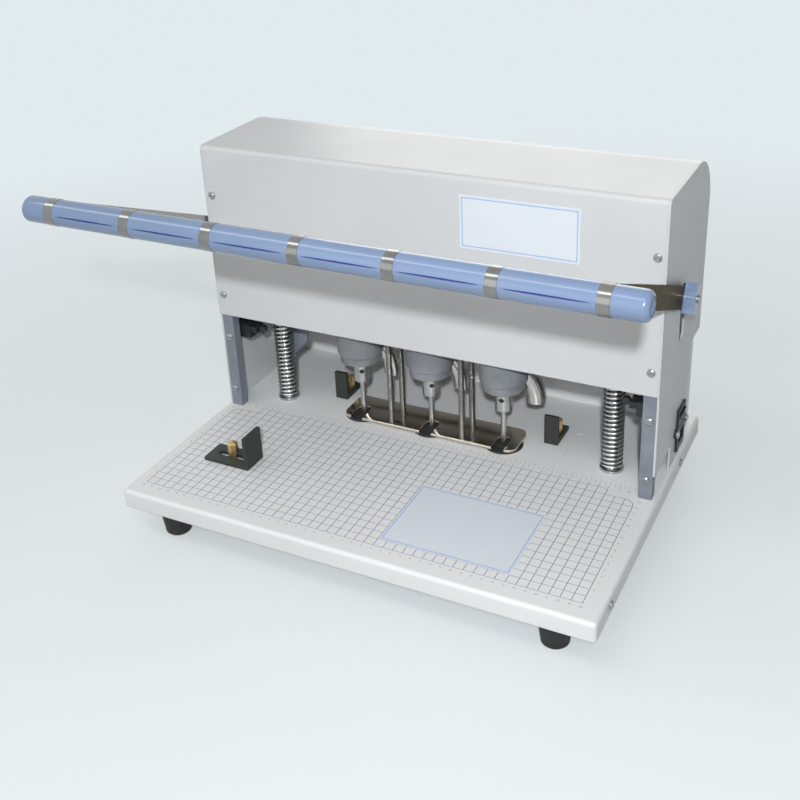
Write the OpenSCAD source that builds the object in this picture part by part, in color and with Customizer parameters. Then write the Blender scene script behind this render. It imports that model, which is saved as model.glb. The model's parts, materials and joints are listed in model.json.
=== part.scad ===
// Three-spindle electric paper drill with a pull-down lever bar.
// A folded table carries two side plates and a hood. A carriage with three motors rides on
// two columns, and racks on it mesh with toothed sectors on the lever's stub axles.
// Millimetres, +Z up, +X to the right, +Y to the back. The drilling line runs along X.

/* [Table] */
// Width of the table
table_w = 494; // [490:1:540]
// Reach of the table in front of the drilling line
table_front = 228; // [210:1:240]
// Reach of the table behind the drilling line
table_back = 134; // [125:1:160]
// Radius of the table's corners and top edges
table_r = 4; // [3:0.5:8]
// Height of the folded skirt
skirt_h = 19; // [18:1:30]
// Thickness of the folded sheet metal
sheet_t = 2; // [1.5:0.1:2.5]
// Thickness of the steel bed under the table
bed_t = 10; // [8:0.5:12]
// Reach of the bed in front of and behind the drilling line
bed_reach = 42; // [41:1:60]
// Reach of the bed beyond a column
bed_end = 20; // [10:1:24]
// Thickness of the bottom plate
bottom_t = 1.5; // [1:0.1:2]
// Height of a rubber foot
foot_h = 34; // [20:1:40]
// Diameter of a rubber foot at its top
foot_d = 31; // [28:1:36]
// Diameter of a rubber foot near the floor
foot_base_d = 26; // [20:1:27]
// Height at which a rubber foot reaches its full diameter
foot_flare_h = 21; // [10:1:28]
// Distance of a foot's middle from the table's side edge
foot_side = 44; // [25:1:60]
// Distance of a foot's middle from the table's front or back edge
foot_end = 26; // [22:1:60]
// Distance of the front side screws from the table's front edge
tray_screw_front = 40; // [25:1:80]
// Distance of the rear side screws from the table's back edge
tray_screw_back = 83; // [25:1:100]

/* [Housing] */
// Height of the throat between table and hood
throat_h = 114; // [112:1:118]
// Height of the hood
hood_h = 191; // [188:1:210]
// Outer width of the housing
hood_w = 486; // [482:1:488]
// Reach of the hood behind the drilling line
hood_back = 117; // [110:1:122]
// Radius of the hood's rear top edge
hood_round = 53; // [40:1:70]
// Radius of the hood's front top edge
hood_bend = 5; // [4:0.5:10]
// Width of a front post
post_w = 13; // [11:0.5:14]
// Depth of a front post
post_d = 11; // [10:0.5:14]
// Distance from the drilling line to the posts' front faces
post_ahead = 39.5; // [39:0.5:41.5]
// Height of a front post
post_h = 264; // [258:1:270]
// Heights of the two screws on a post's open length
post_screw_low = 21.5; // [15:0.5:30]
// Height of the upper post screw
post_screw_high = 86.5; // [75:0.5:100]
// Height of the lower hood screw
hood_screw_low = 138.5; // [130:0.5:160]
// Height of the upper hood screw
hood_screw_high = 252; // [230:0.5:254]
// Reach of a side plate's leg behind the drilling line
leg_back = 78; // [76:1:85]
// Height of the relief at the right side plate's front foot
leg_relief_h = 27; // [10:1:40]
// Length of the relief at the right side plate's front foot
leg_relief_l = 58; // [30:1:62]
// Width of the inspection slot in a side plate
side_slot_w = 18; // [10:1:20]
// Length of the inspection slot in a side plate
side_slot_l = 40; // [25:1:42]
// Distance of the inspection slot's middle behind the drilling line
side_slot_back = 32; // [20:1:36]
// Height of the inspection slot's middle above the table
side_slot_z = 158; // [140:1:162]
// Width of the rear cabinet wall
cabinet_w = 476; // [460:1:478]
// Overlap of the rear cabinet wall inside the hood
cabinet_lap = 14; // [8:1:20]
// Width of the blank plate on the hood
plate_w = 117; // [80:1:140]
// Height of the blank plate on the hood
plate_h = 53; // [40:1:70]
// Thickness of the blank plate on the hood
plate_t = 0.6; // [0.4:0.1:1]
// Sideways place of the blank plate
plate_x = 106; // [90:1:120]
// Drop of the blank plate's middle below the hood's top
plate_z = 44; // [41:1:60]

/* [Columns and carriage] */
// Distance between the two columns
column_span = 380; // [376:1:384]
// Diameter of a column
column_d = 15; // [14:0.5:15.5]
// Diameter of the spring wire
wire_d = 2.8; // [2.4:0.1:3]
// Turns of a return spring
spring_turns = 21; // [8:1:24]
// Play between a column and the spring round it
spring_play = 0.7; // [0.5:0.1:1]
// Height of a spring seat
seat_h = 3; // [2.5:0.5:6]
// Rim of a spring seat outside the spring
seat_rim = 1; // [0.8:0.1:2]
// Height of the carriage beam's underside above the table
beam_z = 116; // [114:0.5:118]
// Thickness of the carriage beam
beam_t = 14; // [12:0.5:16]
// Margin of the carriage beam behind the motors
beam_margin = 2; // [0:0.5:6]
// Reach of the carriage beam beyond a guide bush
beam_end = 6; // [5:0.5:8]
// Space from the end of the carriage beam to an axle bearing
bearing_space = 2; // [1:0.5:3]
// Outer diameter of a guide bush
bush_d = 28; // [26:0.5:29]
// Length of a guide bush below the beam
bush_low = 10; // [6:0.5:12]
// Length of a guide bush above the beam
bush_high = 8; // [6:0.5:10]
// Width of a guide bush's flange round the bush
bush_rim = 4; // [2:0.5:4.5]
// Height of a guide bush's flange
bush_flange_h = 4; // [3:0.5:8]
// Space from a guide bush to the rack beside it
rack_space = 7; // [5:0.5:9]
// Thickness of the bracket that hangs from the carriage beam
bracket_t = 3; // [2:0.5:4]
// Width of the bracket that hangs from the carriage beam
bracket_w = 36; // [30:1:40]
// Drop of the bracket's long side below the beam
bracket_drop = 68; // [50:1:80]
// Drop of the bracket's short side below the beam
bracket_short = 48; // [30:1:50]
// Height of the top beam's underside above the table
top_z = 274; // [272:1:278]
// Thickness of the top beam
top_t = 10; // [8:0.5:12]
// Width of the top beam
top_w = 30; // [26:1:40]

/* [Drilling heads] */
// Distance between neighbouring drilling heads
head_pitch = 83; // [80:0.5:84]
// Sideways place of the middle drilling head
head_x = -9; // [-12:0.5:0]
// Outer diameter of a hollow bit
bit_d = 6; // [4:0.5:8]
// Wall of a hollow bit
bit_wall = 1; // [0.6:0.1:1.2]
// Free length of a bit below its chuck
bit_l = 40; // [38:0.5:41]
// Length of a bit inside its chuck
bit_grip = 16; // [10:1:20]
// Diameter of a chuck
chuck_d = 18; // [16:0.5:20]
// Length of a chuck
chuck_l = 26; // [22:0.5:28]
// Diameter of a spindle inside its gear head
spindle_d = 12; // [10.5:0.5:13]
// Length of a spindle inside its gear head
spindle_l = 18; // [12:1:24]
// Diameter of a gear head's flange
head_d = 50; // [46:1:54]
// Diameter of a gear head's lower ring
head_ring_d = 43; // [38:1:45]
// Diameter of a gear head's nose
head_nose_d = 36; // [32:1:37]
// Height of each lower step of a gear head
head_step = 7; // [5:0.5:8]
// Diameter of a motor
motor_d = 60; // [50:1:66]
// Height of a motor
motor_h = 90; // [70:1:92]
// Outer diameter of a chip tube
tube_d = 21; // [16:0.5:22]
// Wall of a chip tube
tube_wall = 1.2; // [0.8:0.1:2]
// Lean of a chip tube's upper end from upright
tube_lean = 40; // [30:1:45]
// Bend radius of a chip tube's elbow
tube_bend_r = 57; // [45:1:60]

/* [Press plate] */
// Width of the press plate
press_w = 202; // [196:1:206]
// Depth of the press plate
press_d = 46.5; // [44:0.5:50]
// Reach of the press plate in front of the drilling line
press_front = 18.5; // [17:0.5:20]
// Thickness of the press plate
press_t = 3; // [2:0.5:3.5]
// Corner radius of the press plate
press_r = 11; // [4:1:12]
// Width of a notch for a bit
notch_w = 14; // [10:0.5:18]
// Diameter of a press rod
rod_d = 6.5; // [5:0.5:8]
// Distance of the press rods from the drilling line
rod_offset = 13.5; // [12:0.5:14.5]
// Diameter of a rod's collar
collar_d = 12; // [11:0.5:14]
// Height of a rod's collar
collar_h = 6; // [4:0.5:10]
// Diameter of a drilling pad
pad_d = 41; // [36:1:44]
// Height of a drilling pad above the table
pad_rise = 2; // [1:0.1:2.2]

/* [Lever] */
// Length of an arm from its axle to the bar
arm_l = 282.5; // [270:0.5:300]
// Angle of the arms above level when the carriage is down
arm_tilt = 23; // [15:0.5:30]
// Width of an arm
arm_w = 22; // [18:0.5:24]
// Thickness of an arm
arm_t = 3.5; // [3:0.1:4]
// Height of the axles above the table
axle_z = 192; // [188:0.5:196]
// Distance of the axles behind the drilling line
axle_back = 15.5; // [14:0.5:18]
// Diameter of an axle
axle_d = 14; // [12:0.5:15]
// Width of the collar round an axle
axle_rim = 4; // [3:0.5:5]
// Thickness of the collar that keeps an arm off the side plate
axle_collar_t = 2; // [1:0.1:2.5]
// Wall of an axle's bearing block
bearing_wall = 12; // [9:0.5:13]
// Closed face of a blue hub over the axle's end
hub_face = 4; // [3:0.5:5]
// Width of a toothed sector's hub round the axle
sector_hub = 5; // [4:0.5:8]
// Thickness of a blue hub
hub_t = 11; // [8:0.5:14]
// Height of a blue hub across the arm
hub_h = 29; // [27:0.5:34]
// Pitch radius of a toothed sector
sector_r = 40; // [38:2:42]
// Tooth module
tooth_m = 2; // [2:0.5:2.5]
// Width of a rack and of a toothed sector
rack_w = 10; // [8:0.5:10]
// Depth of a rack behind its teeth
rack_t = 8; // [6:0.5:8]
// Swing of the lever in degrees, from down to up
swing = 60; // [40:1:60]
// Diameter of the bar's core tube
core_d = 18; // [14:0.5:20]
// Wall of the core tube
core_wall = 2; // [1:0.1:3]
// Outer diameter of the grip sleeves
grip_d = 24; // [22:0.5:28]
// Distance between neighbouring bands on the bar
band_pitch = 83.5; // [83:0.1:84.5]
// Width of a band
band_w = 10; // [8:0.5:11]
// Rise of a band above the sleeves
band_rise = 0.25; // [0.1:0.05:0.5]
// Length of an end cap
cap_l = 27; // [20:0.5:34]
// Rounding of an end cap
cap_r = 8; // [4:0.5:9]
// Solid end of a cap beyond the core tube
cap_wall = 5; // [4:0.5:8]

/* [Stops and switches] */
// Sheet thickness of a paper stop
stop_t = 4; // [3:0.5:5]
// Length of the side stop
side_stop_l = 54; // [48:1:70]
// Width of the side stop
side_stop_w = 28; // [20:1:32]
// Height of the side stop
side_stop_h = 37; // [25:1:45]
// Sideways place of the side stop's face
side_stop_x = -147; // [-160:1:-140]
// Distance of the side stop in front of the drilling line
side_stop_ahead = 136; // [110:1:150]
// Length of a rear stop
rear_stop_l = 36; // [32:1:42]
// Width of a rear stop
rear_stop_w = 15; // [14:0.5:20]
// Height of a rear stop
rear_stop_h = 33; // [25:1:38]
// Sideways distance of the rear stops from the middle between them
rear_stop_x = 125; // [122:0.5:130]
// Sideways shift of the rear stops from the middle head
stop_shift = 3.5; // [0:0.5:5]
// Sideways distance of a guide groove from its rear stop
groove_x = 22; // [16:0.5:24]
// Length of a guide groove
groove_l = 46; // [30:1:50]
// Distance of a guide groove's middle behind the drilling line
groove_back = 26.5; // [20:0.5:40]
// Depth of a guide groove
groove_t = 0.6; // [0.3:0.1:1]
// Distance of the rear stops' faces behind the drilling line
rear_stop_back = 17.5; // [14:0.5:22]
// Diameter of a thumb screw's stem
thumb_d = 5; // [4:0.5:6]
// Diameter of a thumb screw's knurled head
thumb_head_d = 11; // [9:0.5:12]
// Height of a thumb screw's knurled head
thumb_head_h = 9; // [7:0.5:12]
// Width of the power inlet
inlet_w = 28; // [26:0.5:29]
// Height of the power inlet
inlet_h = 47; // [44:0.5:50]
// Depth of the power inlet behind the side plate
inlet_depth = 22; // [18:1:26]
// Distance of the inlet behind the drilling line
inlet_back = 52; // [50:0.5:53]
// Height of the inlet's middle above the table
inlet_z = 33; // [31:0.5:36]
// Thickness of the inlet's flange
inlet_flange_t = 2.5; // [2:0.1:3]
// Height of the rocker
rocker_h = 13; // [11:0.5:14]
// Length of a limit switch body
switch_l = 23; // [20:0.5:24]
// Height of a limit switch body
switch_h = 15; // [12:0.5:17]
// Height of a limit switch above the table
switch_z = 80; // [76:0.5:84]
// Depth of a limit switch body
switch_w = 18; // [16:0.5:20]
// Distance of a limit switch's middle in front of the drilling line
switch_ahead = 15; // [14:0.5:16]

/* [Fits] */
// Radial clearance of a shaft in its hole
fit = 0.05; // [0.02:0.01:0.1]
// Clear space between pieces that move past each other
gap = 0.3; // [0.2:0.05:0.5]
// Play between meshing teeth
backlash = 0.5; // [0.3:0.05:0.7]

/* [Hidden] */
$fn = 48;
// Overshoot of a cutting shape past the face that it cuts
over = 1;

table_top = foot_h + skirt_h;
bed_top = table_top - sheet_t;
bed_z = bed_top - bed_t;
collar_reach = grip_d / 2 + band_rise;
bar_reach = arm_l * cos(arm_tilt) - axle_back;
// The drilling line lies where the part's box is centred front to back
line_y = (bar_reach + collar_reach - table_back) / 2;
front_y = line_y - table_front;
back_y = line_y + table_back;

half_w = hood_w / 2;
inner_x = half_w - sheet_t;
post_x = inner_x - post_w / 2;
post_y = line_y - post_ahead;
hood_y = post_y - sheet_t;
hood_back_y = line_y + hood_back;
hood_z = table_top + throat_h;
hood_top = hood_z + hood_h;

column_x = column_span / 2;
coil_r = column_d / 2 + wire_d / 2 + spring_play;
beam_low = table_top + beam_z;
beam_top = beam_low + beam_t;
bush_bottom = beam_low - bush_low;
spring_d = 2 * coil_r + wire_d;
seat_d = spring_d + 2 * seat_rim;

heads = [head_x - head_pitch, head_x, head_x + head_pitch];
rods = [head_x - head_pitch / 2, head_x + head_pitch / 2];
pad_top = table_top + pad_rise;
bit_tip = pad_top + gap;
chuck_low = bit_tip + bit_l;
head_low = chuck_low + chuck_l + gap;
flange_low = head_low + 2 * head_step;
press_low = pad_top + gap;
press_top = press_low + press_t;
press_back = press_d - press_front;
collar_low = beam_top + gap;

axle_y = line_y + axle_back;
axle_height = table_top + axle_z;
arm_x = half_w + gap + axle_collar_t;
hub_x = arm_x + arm_t;
hub_end = hub_x + hub_t;
axle_end = hub_end - hub_face;
bar_y = axle_y - arm_l * cos(arm_tilt);
bar_z = axle_height + arm_l * sin(arm_tilt);
// An arm's clamping collar on the bar ends here
collar_end = arm_x + band_w;
stroke = sector_r * swing * PI / 180;

// Racks stand on the carriage beam, inside the guide bushes
rack_x = column_x - bush_d / 2 - rack_space - rack_w;
beam_half = column_x + bush_d / 2 + beam_end;
tooth_pitch = PI * tooth_m;
tooth_angle = 180 * tooth_m / sector_r;
pitch_y = axle_y - sector_r;
tooth_root = 1.25 * tooth_m;
tooth_tip = 0.95 * tooth_m;
rack_root_y = pitch_y - tooth_root;
beam_front = rack_root_y - rack_t;
beam_back = line_y + motor_d / 2 + beam_margin;
pressure = 20;
base_r = sector_r * cos(pressure);
hub_disc_r = axle_d / 2 + sector_hub;
bearing_x = beam_half + bearing_space;

inlet_y = line_y + inlet_back;
inlet_mid = table_top + inlet_z;
ear_y = inlet_w / 2 + 4;
inlet_face = half_w + inlet_flange_t;
// The inlet's body is smaller than its flange by this much on each side
inlet_lip = 2;
rocker_z = inlet_mid + inlet_h / 4;
rocker_w = inlet_w - 8;
rocker_well = 9;
rocker_pin = 1.5;
rocker_tilt = 8;
socket_z = inlet_mid - inlet_h / 5;
socket_half = [10, 7];
socket_floor = half_w - inlet_depth + 3;
pin_d = 3;

switch_y = line_y - switch_ahead;
switch_low = table_top + switch_z;
lever_pin_ahead = 4;
lever_pin_drop = 5;
lever_pin_x = inner_x - switch_l - lever_pin_ahead;
lever_pin_z = switch_low + switch_h - lever_pin_drop;
// The lever swings between two ears
ear_t = 4;
lever_w = 6;
ear_space = lever_w / 2 + gap;

screw_head_d = 8;
screw_head_h = 2.2;
screw_d = 4;
screw_l = 8;
screw_slot_w = 1.1;

stop_low = table_top + gap;
stop_top = stop_low + stop_t;
slot_w = thumb_d + 1.5;
side_slot_run = side_stop_l - stop_t - 14;
rear_slot_run = rear_stop_l - stop_t - 9;
side_stop_y = line_y - side_stop_ahead;
side_thumb_x = side_stop_x - side_stop_l / 2;
rear_stop_y = line_y + rear_stop_back;
rear_thumb_y = rear_stop_y + rear_stop_l / 2 + stop_t / 2;
stops_mid = head_x + stop_shift;
rear_stops = [stops_mid - rear_stop_x, stops_mid + rear_stop_x];
nut_d = thumb_d + 6;
nut_h = 5;

steel = [0.72, 0.73, 0.75];
dark_steel = [0.5, 0.53, 0.58];
paint = [0.86, 0.87, 0.88];
blue = [0.55, 0.66, 0.88];
black = [0.08, 0.08, 0.09];
green_black = [0.17, 0.2, 0.18];
brass = [0.75, 0.6, 0.35];

// Shapes that repeat

// Extrudes an outline in Y and Z along X
module along_x(x0, x1) {
    translate([x0, 0, 0]) rotate([90, 0, 90]) linear_extrude(x1 - x0) children();
}

// Adds the mirror image on the left side
module both_sides() {
    children();
    mirror([1, 0, 0]) children();
}

// A round bar along X
module bar_x(d, x0, x1, y, z) {
    translate([x0, y, z]) rotate([0, 90, 0]) cylinder(d = d, h = x1 - x0);
}

// A rectangle between two corners
module rect(x0, y0, x1, y1) {
    translate([x0, y0]) square([x1 - x0, y1 - y0]);
}

// A rectangle with round corners between two corners
module round_rect(x0, y0, x1, y1, r) {
    rect(x0 + r, y0, x1 - r, y1);
    rect(x0, y0 + r, x1, y1 - r);
    for (x = [x0 + r, x1 - r], y = [y0 + r, y1 - r]) translate([x, y]) circle(r);
}

// A box between two corners
module box(low, high) {
    translate(low) cube(high - low);
}

// A slot with round ends, its middle at the origin, along the first axis
module slot_shape(l, w) {
    rect(-(l - w) / 2, -w / 2, (l - w) / 2, w / 2);
    for (side = [-1, 1]) translate([side * (l - w) / 2, 0]) circle(d = w);
}

// A slotted screw along Z with its head above the origin
module screw(l = screw_l) {
    difference() {
        union() {
            cylinder(d = screw_head_d, h = screw_head_h * 0.6);
            translate([0, 0, screw_head_h * 0.6])
                cylinder(d1 = screw_head_d, d2 = screw_head_d * 0.7, h = screw_head_h * 0.4);
        }
        translate([0, 0, screw_head_h]) cube([screw_head_d, screw_slot_w, screw_head_h], center = true);
    }
    translate([0, 0, -l]) cylinder(d = screw_d, h = l);
}

// The hole for a screw
module screw_hole(l = screw_l) {
    translate([0, 0, -l - fit]) cylinder(d = screw_d + 2 * fit, h = l + over);
}

// Turns a Z axis to point to the front or to the right
module to_front() {
    rotate([90, 0, 0]) children();
}
module to_right() {
    rotate([0, 90, 0]) children();
}

// Table

// A box whose vertical corners and top edges are round
module soft_top_box(low, high, r) {
    box([low.x + r, low.y, low.z], [high.x - r, high.y, high.z - r]);
    box([low.x, low.y + r, low.z], [high.x, high.y - r, high.z - r]);
    box([low.x + r, low.y + r, low.z], [high.x - r, high.y - r, high.z]);
    for (x = [low.x + r, high.x - r]) {
        translate([x, low.y + r, high.z - r]) rotate([-90, 0, 0])
            cylinder(r = r, h = high.y - low.y - 2 * r);
        for (y = [low.y + r, high.y - r]) {
            translate([x, y, low.z]) cylinder(r = r, h = high.z - low.z - r);
            translate([x, y, high.z - r]) sphere(r = r);
        }
    }
    for (y = [low.y + r, high.y - r]) translate([low.x + r, y, high.z - r]) rotate([0, 90, 0])
        cylinder(r = r, h = high.x - low.x - 2 * r);
}

module at_tray_screws() {
    for (y = [front_y + tray_screw_front, back_y - tray_screw_back])
        translate([table_w / 2, y, foot_h + skirt_h / 2]) to_right() children();
}

module thumb_places() {
    translate([side_thumb_x, side_stop_y, 0]) children();
    for (x = rear_stops) translate([x, rear_thumb_y, 0]) children();
}

module base_tray() {
    half = table_w / 2;
    color(paint) difference() {
        union() {
            difference() {
                soft_top_box([-half, front_y, foot_h], [half, back_y, table_top], table_r);
                box([-half + sheet_t, front_y + sheet_t, foot_h - over],
                    [half - sheet_t, back_y - sheet_t, bed_top]);
            }
            translate([side_thumb_x, side_stop_y, bed_top - nut_h]) cylinder(d = nut_d, h = nut_h);
        }
        for (x = heads) translate([x, line_y, bed_top - over])
            cylinder(d = pad_d + 2 * fit, h = sheet_t + 2 * over);
        both_sides() translate([column_x, line_y, bed_top - over])
            cylinder(d = column_d + 2 * fit, h = sheet_t + 2 * over);
        thumb_places() translate([0, 0, bed_top - nut_h - over])
            cylinder(d = thumb_d + 2 * fit, h = nut_h + sheet_t + 2 * over);
        both_sides() at_tray_screws() screw_hole();
        // Shallow guide grooves beside the rear stops
        for (side = [-1, 1])
            translate([stops_mid + side * (rear_stop_x + groove_x), line_y + groove_back,
                table_top - groove_t]) linear_extrude(groove_t + over) rotate(90) slot_shape(groove_l, slot_w);
    }
}

module steel_bed() {
    half = column_x + column_d / 2 + bed_end;
    color(dark_steel) difference() {
        box([-half, line_y - bed_reach, bed_z], [half, line_y + bed_reach, bed_top]);
        both_sides() translate([column_x, line_y, bed_z - over])
            cylinder(d = column_d + 2 * fit, h = bed_t + 2 * over);
        for (x = rear_stops) translate([x, rear_thumb_y, bed_z - over])
            cylinder(d = thumb_d + 2 * fit, h = bed_t + 2 * over);
    }
}

module bottom_plate() {
    flange_inset = 20;
    flange_drop = 5;
    x1 = table_w / 2 - sheet_t - fit;
    y0 = front_y + sheet_t + fit;
    y1 = back_y - sheet_t - fit;
    color(paint) difference() {
        union() {
            box([-x1, y0, foot_h], [x1, y1, foot_h + bottom_t]);
            both_sides() box([x1 - sheet_t, y0 + flange_inset, foot_h],
                [x1, y1 - flange_inset, foot_h + skirt_h - flange_drop]);
        }
        both_sides() at_tray_screws() screw_hole();
    }
}

module rubber_feet() {
    edge = 2;
    color(black) for (x = [-1, 1], y = [front_y + foot_end, back_y - foot_end])
        translate([x * (table_w / 2 - foot_side), y, 0]) rotate_extrude()
            polygon([[0, 0], [foot_base_d / 2 - edge, 0], [foot_base_d / 2, edge], [foot_d / 2, foot_flare_h],
                [foot_d / 2, foot_h - edge], [foot_d / 2 - edge, foot_h], [0, foot_h]]);
}

module tray_screws() {
    color(steel) both_sides() at_tray_screws() screw();
}

module drill_pads() {
    edge = 0.6;
    side_h = sheet_t + pad_rise - edge;
    color(black) for (x = heads) translate([x, line_y, bed_top]) {
        cylinder(d = pad_d, h = side_h);
        translate([0, 0, side_h]) cylinder(d1 = pad_d, d2 = pad_d - 2 * edge, h = edge);
    }
}

// Housing

// The hood's side outline in Y and Z, drawn in by a wall
module hood_outline(wall, low) {
    y0 = hood_y + wall;
    y1 = hood_back_y - wall;
    top = hood_top - wall;
    rear_r = hood_round - wall;
    bend_r = hood_bend - wall;
    rect(y0, low, y1, top - rear_r);
    rect(y0, top - rear_r - over, y1 - rear_r, top - bend_r);
    rect(y0 + bend_r, top - bend_r - over, y1 - rear_r, top);
    translate([y1 - rear_r, top - rear_r]) circle(rear_r, $fn = 96);
    translate([y0 + bend_r, top - bend_r]) circle(bend_r);
}

module at_hood_screws() {
    both_sides() for (z = [hood_screw_low, hood_screw_high])
        translate([post_x, hood_y, table_top + z]) to_front() children();
}

module at_post_screws() {
    both_sides() for (z = [post_screw_low, post_screw_high])
        translate([post_x, post_y, table_top + z]) to_front() children();
}

// The right side plate before its relief and inlet are cut
module side_plate() {
    along_x(inner_x, half_w) difference() {
        union() {
            hood_outline(0, hood_z);
            rect(post_y, table_top, line_y + leg_back, hood_z + over);
        }
        translate([axle_y, axle_height]) circle(d = axle_d + 4 * gap);
        translate([line_y + side_slot_back, table_top + side_slot_z]) rotate(90)
            slot_shape(side_slot_l, side_slot_w);
    }
}

module side_plate_left() {
    color(paint) mirror([1, 0, 0]) side_plate();
}

module at_inlet_screws() {
    for (side = [-1, 1]) translate([inlet_face, inlet_y + side * ear_y, inlet_mid]) to_right() children();
}

module side_plate_right() {
    color(paint) difference() {
        side_plate();
        along_x(inner_x - over, half_w + over) {
            rect(post_y - over, table_top - over, post_y + leg_relief_l, table_top + leg_relief_h);
            inlet_section(inlet_lip - gap);
        }
        at_inlet_screws() screw_hole();
    }
}

module hood() {
    color(paint) difference() {
        along_x(-inner_x, inner_x) difference() {
            hood_outline(0, hood_z);
            hood_outline(sheet_t, hood_z - over);
        }
        at_hood_screws() screw_hole();
    }
}

module hood_screws() {
    color(steel) at_hood_screws() screw();
}

module blank_plate() {
    mid = hood_top - plate_z;
    color([0.92, 0.94, 0.98]) box([plate_x - plate_w / 2, hood_y - plate_t, mid - plate_h / 2],
        [plate_x + plate_w / 2, hood_y, mid + plate_h / 2]);
}

module rear_cabinet() {
    half = cabinet_w / 2;
    y1 = hood_back_y - sheet_t;
    y0 = line_y + leg_back;
    top = hood_z + cabinet_lap;
    color(paint) {
        box([-half, y1 - sheet_t, table_top], [half, y1, top]);
        both_sides() box([half - sheet_t, y0, table_top], [half, y1 - sheet_t, hood_z - gap]);
    }
}

module front_posts() {
    color(dark_steel) difference() {
        both_sides() box([inner_x - post_w, post_y, table_top],
            [inner_x, post_y + post_d, table_top + post_h]);
        at_hood_screws() screw_hole();
        at_post_screws() screw_hole();
    }
}

module post_screws() {
    color(steel) at_post_screws() screw();
}

// Columns and springs

module guide_columns() {
    color(steel) both_sides() translate([column_x, line_y, bed_z])
        cylinder(d = column_d, h = table_top + top_z + top_t - bed_z);
}

module spring_seats() {
    color(dark_steel) both_sides() translate([column_x, line_y, table_top]) difference() {
        cylinder(d = seat_d, h = seat_h);
        translate([0, 0, -over]) cylinder(d = column_d + 2 * fit, h = seat_h + 2 * over);
    }
}

module top_beam() {
    color(dark_steel) difference() {
        box([-inner_x, line_y - top_w / 2, table_top + top_z],
            [inner_x, line_y + top_w / 2, table_top + top_z + top_t]);
        both_sides() translate([column_x, line_y, table_top + top_z - over])
            cylinder(d = column_d + 2 * fit, h = top_t + 2 * over);
    }
}

// The wire's middle line: straight up from the seat, round the column, straight up to the bush
rings_per_turn = 8;
wire_sides = 6;
spring_low = table_top + seat_h;
spring_high = bush_bottom - gap;
coil_rise = (spring_high - spring_low - 2 * wire_d) / spring_turns;
function on_coil(i) = let (a = 360 * i / rings_per_turn)
    [coil_r * cos(a), coil_r * sin(a), spring_low + wire_d + coil_rise * i / rings_per_turn];
coil_steps = spring_turns * rings_per_turn;
coil_path = concat([[coil_r, 0, spring_low]], [for (i = [0:coil_steps]) on_coil(i)],
    [[coil_r * cos(360 * spring_turns), coil_r * sin(360 * spring_turns), spring_high]]);
function unit(v) = v / norm(v);
function heading(path, i) = let (last = len(path) - 1)
    i == 0 || i == last ? [0, 0, 1] : unit(unit(path[i + 1] - path[i]) + unit(path[i] - path[i - 1]));
function ring(path, i) = let (
        t = heading(path, i),
        out = unit([path[i].x, path[i].y, 0]),
        n = unit(out - t * (out * t)),
        b = cross(t, n))
    [for (k = [0:wire_sides - 1]) let (a = 360 * k / wire_sides)
        path[i] + wire_d / 2 * (cos(a) * n + sin(a) * b)];
self_gap = min([for (i = [0:len(coil_path) - 1], j = [i + 5:1:len(coil_path) - 1])
    norm(coil_path[i] - coil_path[j])]) - wire_d;
echo(spring_gap_to_itself = self_gap);

module return_spring(x) {
    last = len(coil_path) - 1;
    points = [for (i = [0:last]) each ring(coil_path, i)];
    sides = [for (i = [0:last - 1], k = [0:wire_sides - 1])
        let (a = i * wire_sides + k, b = i * wire_sides + (k + 1) % wire_sides)
        each [[a, a + wire_sides, b], [b, a + wire_sides, b + wire_sides]]];
    caps = [for (k = [1:wire_sides - 2])
        each [[0, k, k + 1], [last * wire_sides, last * wire_sides + k + 1, last * wire_sides + k]]];
    color(steel) translate([x, line_y, 0]) polyhedron(points, concat(sides, caps));
}

module return_spring_left() {
    return_spring(-column_x);
}

module return_spring_right() {
    return_spring(column_x);
}

// Carriage

module at_rods() {
    for (x = rods, side = [-1, 1]) translate([x, line_y + side * rod_offset, 0]) children();
}

module carriage_beam() {
    spindle_room = 4;
    color(dark_steel) difference() {
        box([-beam_half, beam_front, beam_low], [beam_half, beam_back, beam_top]);
        both_sides() translate([column_x, line_y, beam_low - over])
            cylinder(d = bush_d + 2 * fit, h = beam_t + 2 * over);
        for (x = heads) translate([x, line_y, beam_low - over])
            cylinder(d = spindle_d + 2 * spindle_room, h = beam_t + 2 * over);
        at_rods() translate([0, 0, beam_low - over]) cylinder(d = rod_d + 2 * fit, h = beam_t + 2 * over);
    }
}

// A plate with a slanted foot that hangs from the beam behind the left column
module hanging_bracket() {
    bush_space = 1;
    x0 = -column_x - column_d;
    y0 = line_y + bush_d / 2 + bush_space;
    color(dark_steel) translate([x0, y0 + bracket_t, beam_low]) rotate([90, 0, 0]) linear_extrude(bracket_t)
        polygon([[0, 0], [0, -bracket_drop], [bracket_w / 2, -bracket_drop], [bracket_w, -bracket_short],
            [bracket_w, 0]]);
}

module guide_bushes() {
    color(brass) both_sides() translate([column_x, line_y, bush_bottom]) difference() {
        union() {
            cylinder(d = bush_d, h = bush_low + beam_t + bush_high);
            translate([0, 0, bush_low + beam_t]) cylinder(d = bush_d + 2 * bush_rim, h = bush_flange_h);
        }
        translate([0, 0, -over])
            cylinder(d = column_d + 2 * fit, h = bush_low + beam_t + bush_high + 2 * over);
    }
}

// One rack tooth between its root and tip, with its middle on the first axis
module rack_tooth() {
    half = (tooth_pitch / 2 - backlash) / 2;
    half_root = half + tooth_root * tan(pressure);
    half_tip = half - tooth_tip * tan(pressure);
    sink = -tooth_root - fit;
    polygon([[sink, -half_root], [tooth_tip, -half_tip], [tooth_tip, half_tip], [sink, half_root]]);
}

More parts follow.
